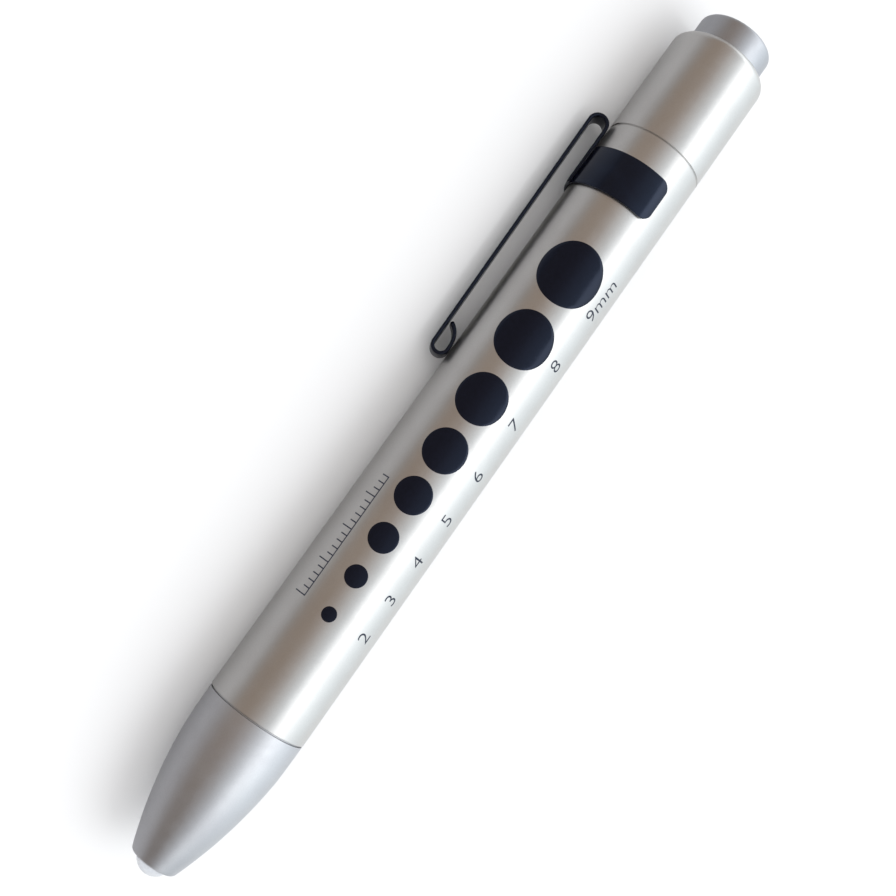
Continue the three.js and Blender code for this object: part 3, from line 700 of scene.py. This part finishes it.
def circuit_board(name):
    """Green solder mask with copper tracks below it."""
    look = Look(name)
    tracks = look.node("ShaderNodeTexBrick", {
        "Vector": look.stretched((1.0, 1.0, 1.0)), "Scale": 0.55, "Mortar Size": 0.09,
        "Mortar Smooth": 0.2, "Mortar": (1, 1, 1, 1),
        "Color1": (0, 0, 0, 1), "Color2": (0, 0, 0, 1),
    }).outputs["Color"]
    weave = look.noise(scale=5.0, detail=3.0)
    green = look.ramp(weave, [(0.3, (0.008, 0.075, 0.03)), (0.7, (0.014, 0.12, 0.05))])
    shade = look.mix(tracks, green, (0.03, 0.22, 0.08))
    return look.finish(base_color=shade, roughness=look.spread(weave, 0.25, 0.38),
                       normal=look.bump(tracks, depth=0.02, below=look.bump(weave, depth=0.003)))


LOOKS = {
    "barrel": blasted_metal("satin_aluminium", (0.70, 0.69, 0.67), (0.66, 0.645, 0.625), 0.34),
    "nose": blasted_metal("matte_aluminium", (0.64, 0.645, 0.66), (0.60, 0.60, 0.62), 0.45),
    "button": blasted_metal("button_aluminium", (0.55, 0.56, 0.58), (0.51, 0.515, 0.54), 0.44),
    "clip": gloss_enamel("black_enamel"),
    "spot_ink": ink("spot_ink", (0.002, 0.002, 0.005), 0.17),
    "number_ink": ink("number_ink", (0.020, 0.021, 0.030), 0.45),
    "lamp": epoxy_lamp("lamp_epoxy"),
    "steel": plated("nickel_plate", (0.70, 0.70, 0.71), (0.52, 0.51, 0.50), 0.24),
    "brass": plated("drawn_brass", (0.80, 0.62, 0.30), (0.60, 0.42, 0.18), 0.26),
    "rubber": moulded("seal_rubber", (0.022, 0.022, 0.024), 0.42, 5.0, 0.008),
    "black_plastic": moulded("black_plastic", (0.030, 0.030, 0.034), 0.46),
    "white_plastic": moulded("white_plastic", (0.80, 0.79, 0.74), 0.42, subsurface=0.15),
    "board": circuit_board("circuit_board"),
    "cell_jacket": cell_film("cell_film"),
}

# ---- barrel ----

BARREL_FACE = SEAM_GAP / 2
BARREL_TAIL_FACE = BARREL_END - SEAM_GAP / 2
CAP_FACE = BARREL_END + SEAM_GAP / 2
NOSE_FACE = -SEAM_GAP / 2
BARREL_THREAD_START = BARREL_TAIL_FACE + SPIGOT_LENGTH - THREAD_INSET
NOSE_THREAD_START = NOSE_FACE + SPIGOT_LENGTH - THREAD_INSET


def spigot_rows(face, end, lip_radius):
    """Outline of a spigot with its seal groove, from its shoulder to its end. A narrow lip at the
    shoulder fills most of the seam, so that the seam is a shallow groove."""
    groove = face + GROOVE_FROM
    lip = face + LIP_WIDTH
    return [
        (face, lip_radius), (lip, lip_radius, LIP_EDGE), (lip, MALE_ROOT, LIP_EDGE),
        (groove, MALE_ROOT, INNER_EDGE), (groove, GROOVE_RADIUS, INNER_EDGE),
        (groove + GROOVE_WIDTH, GROOVE_RADIUS, INNER_EDGE),
        (groove + GROOVE_WIDTH, MALE_ROOT, INNER_EDGE),
        (end, MALE_ROOT, SPIGOT_END_EDGE), (end, BORE_RADIUS, BORE_EDGE),
    ]


def build_barrel():
    """Barrel tube with its socket for the nose and its spigot for the tail cap."""
    rows = [
        (BARREL_FACE, FEMALE_ROOT, BORE_EDGE), (BARREL_FACE, BODY_RADIUS, EDGE),
        (BARREL_TAIL_FACE - TAIL_STEP, BODY_RADIUS, TAIL_STEP_EDGE),
        (BARREL_TAIL_FACE - TAIL_STEP, TAIL_LIP_RADIUS, TAIL_STEP_EDGE),
        *spigot_rows(BARREL_TAIL_FACE, BARREL_TAIL_FACE + SPIGOT_LENGTH, TAIL_LIP_RADIUS),
        (SOCKET_DEPTH, BORE_RADIUS, BORE_EDGE), (SOCKET_DEPTH, FEMALE_ROOT, BORE_EDGE),
    ]
    female = thread_ridge(
        NOSE_THREAD_START + THREAD_PITCH / 2, FEMALE_ROOT + THREAD_EMBED, FEMALE_CREST,
    )
    male = thread_ridge(BARREL_THREAD_START, MALE_ROOT - THREAD_EMBED, MALE_CREST)
    shells = [turned(rows), female, male]
    piece("barrel", "barrel", LOOKS["barrel"], shells, ["barrel_tube"])


def seal(name, body, face, node):
    """Seal ring in the groove of the spigot whose shoulder is at the given face."""
    centre = face + GROOVE_FROM + GROOVE_WIDTH / 2
    shell = ring_seal(centre, GROOVE_RADIUS + SEAL_STRETCH, FEMALE_ROOT - SEAL_CLEARANCE)
    piece(name, body, LOOKS["rubber"], [shell], [node])


# ---- print on the barrel ----

def wrapped(station, angle, along, across, height):
    """Point of a flat print wrapped round the barrel. Across is positive towards the clip."""
    return around(station + along, angle - across / BODY_RADIUS, BODY_RADIUS + height)


def printed_spot(station, diameter, rings=9, segments=112):
    """Round film of ink, closed, with its lower side sunk into the barrel's skin."""
    radius = diameter / 2
    rim = [(radius * k / rings, PRINT_HEIGHT) for k in range(1, rings)]
    rim.append((radius - PRINT_RIM, PRINT_HEIGHT))
    rim += [(radius, PRINT_HEIGHT - PRINT_RIM_DROP), (radius, -PRINT_DEPTH)]
    rim += [(radius * k / rings, -PRINT_DEPTH) for k in range(rings - 1, 0, -1)]
    points = [wrapped(station, SPOT_ANGLE, 0, 0, PRINT_HEIGHT)]
    for reach, height in rim:
        for k in range(segments):
            turn = 2 * math.pi * k / segments
            points.append(wrapped(
                station, SPOT_ANGLE, reach * math.cos(turn), reach * math.sin(turn), height,
            ))
    points.append(wrapped(station, SPOT_ANGLE, 0, 0, -PRINT_DEPTH))
    last = len(points) - 1
    faces = [(1 + k, 1 + (k + 1) % segments, 0) for k in range(segments)]
    for k in range(len(rim) - 1):
        faces += bridge(1 + k * segments, 1 + (k + 1) * segments, segments)
    end = last - segments
    faces += [(end + k, end + (k + 1) % segments, last) for k in range(segments)]
    return points, faces


def printed_bar(station, along, across_from, across_to, steps=10):
    """Rectangular film of ink on the ruler's line, closed."""
    section = ((-1, -PRINT_DEPTH), (-1, PRINT_HEIGHT), (1, PRINT_HEIGHT), (1, -PRINT_DEPTH))
    points, faces = [], []
    for k in range(steps + 1):
        across = across_from + (across_to - across_from) * k / steps
        for part, height in section:
            points.append(wrapped(station, RULER_ANGLE, part * along / 2, across, height))
        if k:
            faces += bridge(4 * k - 4, 4 * k, 4)
    faces += [(0, 1, 2, 3), tuple(range(4 * steps, 4 * steps + 4))]
    return points, faces


def flat_text(text, thinned):
    """Closed flat mesh of a text in the built-in sans-serif type, as a bmesh."""
    curve = bpy.data.curves.new("type", "FONT")
    curve.body = text
    curve.extrude = TYPE_THICKNESS
    curve.offset = -thinned
    curve.resolution_u = TYPE_FINENESS
    holder = bpy.data.objects.new("type", curve)
    bpy.context.scene.collection.objects.link(holder)
    ready = holder.evaluated_get(bpy.context.evaluated_depsgraph_get())
    mesh = bpy.data.meshes.new_from_object(ready)
    made = bmesh.new()
    made.from_mesh(mesh)
    bmesh.ops.remove_doubles(made, verts=made.verts, dist=TYPE_WELD)
    bpy.data.objects.remove(holder)
    bpy.data.curves.remove(curve)
    bpy.data.meshes.remove(mesh)
    return made


def extent(made, axis):
    """Lowest and highest coordinate of a bmesh along an axis."""
    values = [vertex.co[axis] for vertex in made.verts]
    return min(values), max(values)


def printed_text(text, station, scale, slices=18):
    """Text wrapped round the barrel, centred on its station and on the numbers' line."""
    made = flat_text(text, NUMBER_THINNED)
    low, high = extent(made, 0)
    top = NUMBER_HEIGHT / scale
    for k in range(1, slices):
        bmesh.ops.bisect_plane(
            made, geom=made.verts[:] + made.edges[:] + made.faces[:],
            plane_co=(0, top * k / slices, 0), plane_no=(0, 1, 0),
        )
    bmesh.ops.triangulate(made, faces=made.faces[:])
    made.verts.index_update()
    middle = Vector(((low + high) / 2, top / 2))
    points = []
    for vertex in made.verts:
        along = (vertex.co.x - middle.x) * scale * NUMBER_STRETCH
        across = (vertex.co.y - middle.y) * scale
        height = PRINT_HEIGHT if vertex.co.z > 0 else -PRINT_DEPTH
        points.append(wrapped(station, NUMBER_ANGLE, along, across, height))
    faces = [tuple(vertex.index for vertex in face.verts) for face in made.faces]
    made.free()
    return points, faces


def build_print():
    """Spots, their numbers and the ruler. The height of a figure 8 sets the type's scale."""
    spots = [printed_spot(station, size) for station, size in zip(SPOT_STATIONS, SPOT_SIZES)]
    piece("pupil_spots", "barrel", LOOKS["spot_ink"], spots)

    sample = flat_text("8", 0)
    low, high = extent(sample, 1)
    sample.free()
    scale = NUMBER_HEIGHT / (high - low)
    numbers = [
        printed_text(str(size), station, scale)
        for station, size in zip(SPOT_STATIONS[:-1], SPOT_SIZES[:-1])
    ]
    numbers.append(printed_text("9mm", LAST_NUMBER_STATION, scale))
    piece("scale_numbers", "barrel", LOOKS["number_ink"], numbers, crease=PRINT_CREASE)

    marks = []
    for mark in range(RULER_MARKS):
        length = RULER_SHORT_MARK if mark % RULER_LONG_EVERY else RULER_LONG_MARK
        marks.append(printed_bar(RULER_FROM + mark, RULER_STROKE, 0.0, length))
    middle = RULER_FROM + (RULER_MARKS - 1) / 2
    marks.append(printed_bar(middle, RULER_MARKS - 1 + RULER_STROKE, -RULER_BASE_STROKE, 0.0, 2))
    piece("tick_ruler", "barrel", LOOKS["number_ink"], marks, crease=PRINT_CREASE)


# ---- pocket clip ----

def arc_points(centre, radius, start, end, steps):
    """Points on an arc in the clip's plane, angles in degrees from +x."""
    return [
        centre + radius * Vector((math.cos(math.radians(a)), math.sin(math.radians(a)), 0))
        for a in np.linspace(start, end, steps).tolist()
    ]


def clip_path():
    """Centre line from the leg on the band, round the loop, along the arm and round the curl."""
    leg_height = BODY_RADIUS + CLIP_CLEARANCE + CLIP_THICKNESS / 2
    loop_centre = side_point(LOOP_STATION, leg_height + LOOP_RADIUS)
    curl_centre = side_point(CURL_STATION, CURL_HEIGHT - CURL_RADIUS)
    path = [side_point(LEG_START, leg_height)]
    path += arc_points(loop_centre, LOOP_RADIUS, 90, 270, CLIP_ARC_STEPS)
    path += arc_points(curl_centre, CURL_RADIUS, 270, 450, CLIP_ARC_STEPS)
    foot = path[-1]
    reach, rise = CLIP_TAIL_LENGTH, CLIP_TAIL_RISE
    controls = [
        foot,
        foot - Vector((CLIP_TAIL_FLAT * reach, 0, 0)),
        foot - Vector((CLIP_TAIL_KNEE * reach, CLIP_TAIL_KNEE_RISE * rise, 0)),
        foot - Vector((reach, rise, 0)),
    ]
    for part in np.linspace(0, 1, CLIP_TAIL_STEPS)[1:].tolist():
        rest = 1 - part
        weights = (rest ** 3, 3 * rest ** 2 * part, 3 * rest * part ** 2, part ** 3)
        path.append(sum((w * c for w, c in zip(weights, controls)), Vector((0, 0, 0))))
    return path


def dense(path, step=0.1):
    """The same polyline with points added along its long stretches."""
    filled = [path[0]]
    for start, end in zip(path, path[1:]):
        parts = max(1, round((end - start).length / step))
        filled += [start.lerp(end, k / parts) for k in range(1, parts + 1)]
    return filled


def build_clip():
    """Strip and band as one piece."""
    length, frame_at = path_frames(dense(clip_path()))
    strip = ribbon(frame_at, length, Vector((0, 0, 1)), CLIP_THICKNESS, CLIP_WIDTH,
                   CLIP_LEG_CORNER, CLIP_TAIL_CORNER, CLIP_STEP)

    middle_radius = BODY_RADIUS + CLIP_CLEARANCE + BAND_SHEET / 2
    wrap = 2 * BAND_HALF_ANGLE * middle_radius
    band_middle = (BAND_FROM + BAND_TO) / 2

    def band_frame(distance):
        angle = -math.pi / 2 - BAND_HALF_ANGLE + distance / middle_radius
        outwards = around(0, angle, 1)
        return around(band_middle, angle, middle_radius), outwards

    band = ribbon(band_frame, wrap, Vector((1, 0, 0)), BAND_SHEET, BAND_TO - BAND_FROM,
                  BAND_CORNER, BAND_CORNER, BAND_STEP)
    clip = piece("pocket_clip", None, LOOKS["clip"], [strip, band], crease=CLIP_CREASE)
    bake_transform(clip)
    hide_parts("clip_band", "clip_arm")


# ---- nose and lamp ----

def nose_arc(steps):
    """Station and radius of the nose's outside, which steepens evenly towards the rim."""
    last_sine = math.sin(NOSE_TAPER_SLOPE) + (NOSE_TAPER_START - NOSE_RIM) / NOSE_ARC_RADIUS
    rows = []
    for k in range(steps + 1):
        slope = NOSE_TAPER_SLOPE + (math.asin(last_sine) - NOSE_TAPER_SLOPE) * k / steps
        rows.append((
            NOSE_TAPER_START - NOSE_ARC_RADIUS * (math.sin(slope) - math.sin(NOSE_TAPER_SLOPE)),
            NOSE_TAPER_RADIUS - NOSE_ARC_RADIUS * (math.cos(NOSE_TAPER_SLOPE) - math.cos(slope)),
        ))
    return rows


def build_nose():
    """Nose cone with its spigot and the stepped cavity for the lamp and its module."""
    arc = nose_arc(NOSE_ARC_STEPS)
    rim_radius = arc[-1][1]
    end = NOSE_FACE + SPIGOT_LENGTH
    module = MODULE_RADIUS + MODULE_CLEARANCE
    rows = [
        *spigot_rows(NOSE_FACE, end, NOSE_LIP_RADIUS),
        (CAVITY_END, BORE_RADIUS, BORE_EDGE), (CAVITY_END, module, INNER_EDGE),
        (MODULE_SEAT, module, INNER_EDGE), (MODULE_SEAT, BUSH_RADIUS, INNER_EDGE),
        (BUSH_SEAT, BUSH_RADIUS, INNER_EDGE), (BUSH_SEAT, LAMP_HOLE_RADIUS, INNER_EDGE),
        (NOSE_RIM, LAMP_HOLE_RADIUS, BORE_EDGE), (NOSE_RIM, rim_radius, NOSE_RIM_EDGE),
        *arc[-2::-1],
        (NOSE_TAPER_START + NOSE_SHOULDER_LENGTH, BODY_RADIUS - NOSE_SHOULDER_INSET),
        (NOSE_FACE, BODY_RADIUS - NOSE_INSET, EDGE),
    ]
    thread = thread_ridge(NOSE_THREAD_START, MALE_ROOT - THREAD_EMBED, MALE_CREST)
    piece("nose", "nose", LOOKS["nose"], [turned(rows), thread], ["nose_cone"])


def build_lamp():
    """Epoxy body of the lamp, with its flange and dome."""
    flange_face = LAMP_BASE - LAMP_FLANGE_LENGTH
    rows = [
        (LAMP_BASE, 0), (LAMP_BASE, LAMP_FLANGE_RADIUS, BORE_EDGE),
        (flange_face, LAMP_FLANGE_RADIUS, BORE_EDGE), (flange_face, LAMP_RADIUS, INNER_EDGE),
    ]
    for k in range(LAMP_DOME_STEPS):
        turn = math.pi / 2 * k / LAMP_DOME_STEPS
        rows.append((LAMP_CENTRE - LAMP_RADIUS * math.sin(turn), LAMP_RADIUS * math.cos(turn)))
    rows.append((LAMP_CENTRE - LAMP_RADIUS, 0))
    piece("lamp", "nose", LOOKS["lamp"], [turned(rows, INNER_SEGMENTS)], ["lamp_dome"])


# ---- tail cap, switch and button ----

def build_tail():
    """Tail cap, push button and the button's spring."""
    opening = BUTTON_RADIUS + BUTTON_CLEARANCE
    cap_rows = [
        (CAP_FACE, FEMALE_ROOT, BORE_EDGE), (CAP_FACE, TAIL_LIP_RADIUS, TAIL_STEP_EDGE),
        (CAP_FACE + TAIL_STEP, TAIL_LIP_RADIUS, TAIL_STEP_EDGE),
        (CAP_FACE + TAIL_STEP, BODY_RADIUS, TAIL_STEP_EDGE),
        (CAP_END, BODY_RADIUS, CAP_CORNER), (CAP_END, opening, SMALL_EDGE),
        (CAP_LIP_FACE, opening, INNER_EDGE), (CAP_LIP_FACE, CAP_BORE, INNER_EDGE),
        (CAP_SOCKET_END, CAP_BORE, INNER_EDGE), (CAP_SOCKET_END, FEMALE_ROOT, BORE_EDGE),
    ]
    thread = thread_ridge(
        BARREL_THREAD_START + THREAD_PITCH / 2, FEMALE_ROOT + THREAD_EMBED, FEMALE_CREST,
    )
    piece("end_cap", "tail", LOOKS["barrel"], [turned(cap_rows), thread], ["tail_cap"])

    flange_face = CAP_LIP_FACE - FLANGE_GAP
    button_rows = [
        (BUTTON_CEILING, 0), (BUTTON_CEILING, BUTTON_BORE, INNER_EDGE),
        (FLANGE_FROM, BUTTON_BORE, INNER_EDGE), (FLANGE_FROM, FLANGE_RADIUS, INNER_EDGE),
        (flange_face, FLANGE_RADIUS, INNER_EDGE), (flange_face, BUTTON_RADIUS, INNER_EDGE),
        (BUTTON_END, BUTTON_RADIUS, BUTTON_CORNER), (BUTTON_END, 0),
    ]
    piece("button", "button", LOOKS["button"], [turned(button_rows)], ["push_button"])

    shell = coil(COVER_TO + SPRING_GAP, BUTTON_CEILING - SPRING_GAP, **RETURN_COIL)
    return_coil = piece(
        "button_spring", "tail", LOOKS["steel"], [shell], ["return_spring"],
    )
    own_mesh(return_coil)


def build_inside():
    """Pieces that show when the nose or the tail cap is unscrewed."""
    for number in (1, 2):
        front = CELL_FRONT + (number - 1) * (CELL_LENGTH + CELL_GAP)
        back = front + CELL_LENGTH
        film = disc(front + CELL_FILM_FROM, back - CELL_FILM_SHORT, CELL_RADIUS, CELL_CORNER)
        piece(f"cell_{number}_film", "barrel", LOOKS["cell_jacket"],
              [film], [f"cell_{number}_jacket"])
        nub_end = front + CELL_NUB_LENGTH
        nub = [
            (front, 0), (front, CELL_NUB_RADIUS, CELL_NUB_EDGE),
            (nub_end, CELL_NUB_RADIUS), (nub_end, 0),
        ]
        piece(f"cell_{number}_nub", "barrel", LOOKS["steel"],
              [turned(nub, INNER_SEGMENTS)], [f"cell_{number}_positive_cap"])
        plate = disc(back - CELL_PLATE_THICKNESS, back, CELL_PLATE_RADIUS, CELL_PLATE_EDGE)
        piece(f"cell_{number}_end", "barrel", LOOKS["steel"],
              [plate], [f"cell_{number}_negative_plate"])

    cell_back = CELL_FRONT + 2 * CELL_LENGTH + CELL_GAP
    tail_coil = coil(cell_back + SPRING_GAP, PLATE_FROM - SPRING_GAP, **TAIL_COIL)
    piece("battery_spring", "tail_slide", LOOKS["steel"], [tail_coil], ["tail_spring"])
    front_coil = coil(WASHER_TO + SPRING_GAP, CELL_FRONT - SPRING_GAP, **FRONT_COIL)
    piece("lamp_spring", "nose", LOOKS["brass"], [front_coil], ["front_spring"])
    washer = sleeve(WASHER_FROM, WASHER_TO, WASHER_BORE, WASHER_RADIUS, INNER_EDGE)
    piece("spring_washer", "nose", LOOKS["brass"], [washer], ["spring_seat"])


def dress_cad_nodes():
    """Materials for the CAD nodes that are shown as they are."""
    for entry in frame["record"]["subparts"]:
        node = frame["nodes"][entry["node"]]
        if node.hide_render:
            continue
        node.data.materials.clear()
        node.data.materials.append(LOOKS[entry["material_slot"]])
        node.data.set_sharp_from_angle(angle=math.radians(CREASE))


build_barrel()
seal("barrel_seal", "barrel", BARREL_TAIL_FACE, "barrel_o_ring")
seal("nose_seal", "nose_slide", NOSE_FACE, "nose_o_ring")
build_print()
build_clip()
build_nose()
build_lamp()
build_tail()
build_inside()
dress_cad_nodes()

# ---- studio ----

# Lengths here are in metres.
FLOOR_DROP = 0.00002
FLOOR_HALF = 2.0
FLOOR_COLOUR = (0.88, 0.88, 0.88)
FLOOR_ROUGHNESS = 0.9
FLOOR_SPECULAR = 0.1

# Light by its angle from the -Y horizon over the zenith to the +Y horizon, in degrees.
SKY = (
    (0, (0.34, 0.282, 0.243)),
    (32, (0.325, 0.262, 0.214)),
    (54, (0.42, 0.365, 0.335)),
    (66, (0.57, 0.55, 0.545)),
    (80, (0.71, 0.73, 0.75)),
    (98.5, (0.84, 0.92, 0.99)),
    (101.5, (2.20, 2.25, 2.30)),
    (114, (2.20, 2.25, 2.30)),
    (126, (1.62, 1.70, 1.77)),
    (136, (1.34, 1.44, 1.52)),
    (156, (1.05, 1.14, 1.20)),
    (180, (0.92, 0.98, 1.02)),
)
SKY_PEAK = 2.4

# The sky dims to this share beyond the lamp, between two values of a direction's x.
SKY_BEYOND_LAMP = 0.56
SKY_DIMS_FROM = 0.33
SKY_DIMS_TO = 0.6
SKY_DIFFUSED = (0.97, 0.97, 0.98)

# Painted reflection: the floor's colour as the metal mirrors it, by its y. It gets darker the
# farther it lies on the -y side, and the camera sees the floor pale.
FLOOR_MIRRORED = (
    (-0.110, (0.22, 0.212, 0.207)),
    (-0.035, (0.375, 0.371, 0.375)),
    (-0.022, (0.435, 0.432, 0.438)),
    (-0.008, (0.450, 0.448, 0.454)),
    (0.012, (0.74, 0.75, 0.755)),
)


def build_world():
    """Sky that the metal mirrors as a bright window over a darker room. It looks plain and pale,
    and it lights matt surfaces evenly."""
    world = bpy.data.worlds.new("studio")
    bpy.context.scene.world = world
    world.use_nodes = True
    tree = world.node_tree
    tree.nodes.clear()
    direction = add_node(tree, "ShaderNodeTexCoord").outputs["Generated"]
    parts = add_node(tree, "ShaderNodeSeparateXYZ", {0: direction}).outputs
    forward = add_node(tree, "ShaderNodeMath", {0: parts["Y"], 1: -1}, operation="MULTIPLY")
    angle = add_node(
        tree, "ShaderNodeMath", {0: parts["Z"], 1: forward.outputs[0]}, operation="ARCTAN2",
    )
    share = add_node(tree, "ShaderNodeMath", {0: angle.outputs[0], 1: math.pi}, operation="DIVIDE")
    ramp = add_node(tree, "ShaderNodeValToRGB", {"Fac": share.outputs[0]})
    fill_ramp(ramp, [(degrees / 180, [c / SKY_PEAK for c in colour]) for degrees, colour in SKY])
    strength = add_node(tree, "ShaderNodeMapRange", {
        "Value": parts["X"], "From Min": SKY_DIMS_FROM, "From Max": SKY_DIMS_TO,
        "To Min": SKY_PEAK, "To Max": SKY_PEAK * SKY_BEYOND_LAMP,
    })
    mirrored = add_node(tree, "ShaderNodeBackground", {
        "Color": ramp.outputs["Color"], "Strength": strength.outputs["Result"],
    })
    diffused = add_node(tree, "ShaderNodeBackground", {"Color": (*SKY_DIFFUSED, 1)})
    path = add_node(tree, "ShaderNodeLightPath").outputs
    plain = add_node(
        tree, "ShaderNodeMath", {0: path["Is Diffuse Ray"], 1: path["Is Camera Ray"]},
        operation="MAXIMUM",
    )
    either = add_node(tree, "ShaderNodeMixShader", {
        0: plain.outputs[0], 1: mirrored.outputs[0], 2: diffused.outputs[0],
    })
    add_node(tree, "ShaderNodeOutputWorld", {"Surface": either.outputs[0]})


def build_floor():
    """Pale floor with a painted reflection: the metal mirrors it greyer on the clip's side,
    standing in for a darker room there.
    """
    mesh = bpy.data.meshes.new("floor")
    corners = ((-1, -1), (1, -1), (1, 1), (-1, 1))
    points = [(x * FLOOR_HALF, y * FLOOR_HALF, -FLOOR_DROP) for x, y in corners]
    mesh.from_pydata(points, [], [(0, 1, 2, 3)])
    material = bpy.data.materials.new("pale_floor")
    material.use_nodes = True
    tree = material.node_tree
    place = add_node(tree, "ShaderNodeTexCoord").outputs["Object"]
    across = add_node(tree, "ShaderNodeSeparateXYZ", {0: place}).outputs["Y"]
    farthest, nearest = FLOOR_MIRRORED[0][0], FLOOR_MIRRORED[-1][0]
    share = add_node(
        tree, "ShaderNodeMapRange", {"Value": across, "From Min": farthest, "From Max": nearest},
    )
    ramp = add_node(tree, "ShaderNodeValToRGB", {"Fac": share.outputs["Result"]})
    span = nearest - farthest
    fill_ramp(ramp, [((y - farthest) / span, colour) for y, colour in FLOOR_MIRRORED])
    # Painted reflection: mirrored rays see the floor in the darker FLOOR_MIRRORED colours.
    glossy = add_node(tree, "ShaderNodeLightPath").outputs["Is Glossy Ray"]
    inputs = {0: glossy, 6: (*FLOOR_COLOUR, 1), 7: ramp.outputs["Color"]}
    shown = add_node(tree, "ShaderNodeMix", inputs, data_type="RGBA")
    surface = tree.nodes["Principled BSDF"]
    tree.links.new(shown.outputs[2], surface.inputs["Base Color"])
    surface.inputs["Roughness"].default_value = FLOOR_ROUGHNESS
    surface.inputs["Specular IOR Level"].default_value = FLOOR_SPECULAR
    mesh.materials.append(material)
    floor = bpy.data.objects.new("floor", mesh)
    bpy.context.scene.collection.objects.link(floor)


def add_panel(name, direction, distance, size, power, colour):
    """Rectangular soft light that faces the pen. The metal doesn't mirror it."""
    data = bpy.data.lights.new(name, "AREA")
    data.shape = "RECTANGLE"
    data.size, data.size_y = size
    data.energy = power
    data.color = colour
    panel = bpy.data.objects.new(name, data)
    bpy.context.scene.collection.objects.link(panel)
    towards = Vector(direction).normalized()
    panel.location = towards * distance
    panel.rotation_euler = towards.to_track_quat("Z", "X").to_euler()
    panel.visible_glossy = False


def build_camera():
    """Camera over the printed scale, at the angle of the reference view."""
    turn = (
        Matrix.Rotation(CAMERA_TURN, 3, "Z") @ Matrix.Rotation(CAMERA_TIP, 3, "Y")
        @ Matrix.Rotation(CAMERA_LEAN, 3, "X")
    )
    to_pen = Matrix(((-1, 0, 0), (0, -1, 0), (0, 0, 1)))
    roll = Matrix.Rotation(CLIP_TILT, 3, "X")
    axes = [roll @ to_pen @ turn[row] for row in range(3)]
    data = bpy.data.cameras.new("camera")
    data.lens = CAMERA_LENS
    data.sensor_width = CAMERA_SENSOR
    data.clip_start = CAMERA_NEAR
    data.clip_end = CAMERA_FAR
    camera = bpy.data.objects.new("camera", data)
    bpy.context.scene.collection.objects.link(camera)
    facing = Matrix(axes).transposed().to_4x4()
    place = PEN @ Vector((-CAMERA_STATION, 0, CAMERA_HEIGHT))
    camera.matrix_world = Matrix.Translation(place) @ facing
    bpy.context.scene.camera = camera


build_world()
build_floor()
add_panel("key", direction=(0.05, 0.45, 0.87), distance=0.9, size=(0.9, 0.5), power=1.6,
          colour=(0.96, 0.98, 1.0))
add_panel("fill", direction=(-0.1, -0.75, 0.66), distance=1.0, size=(1.2, 0.8), power=1.6,
          colour=(1.0, 0.98, 0.96))
build_camera()
bpy.context.scene.view_settings.view_transform = "Standard"
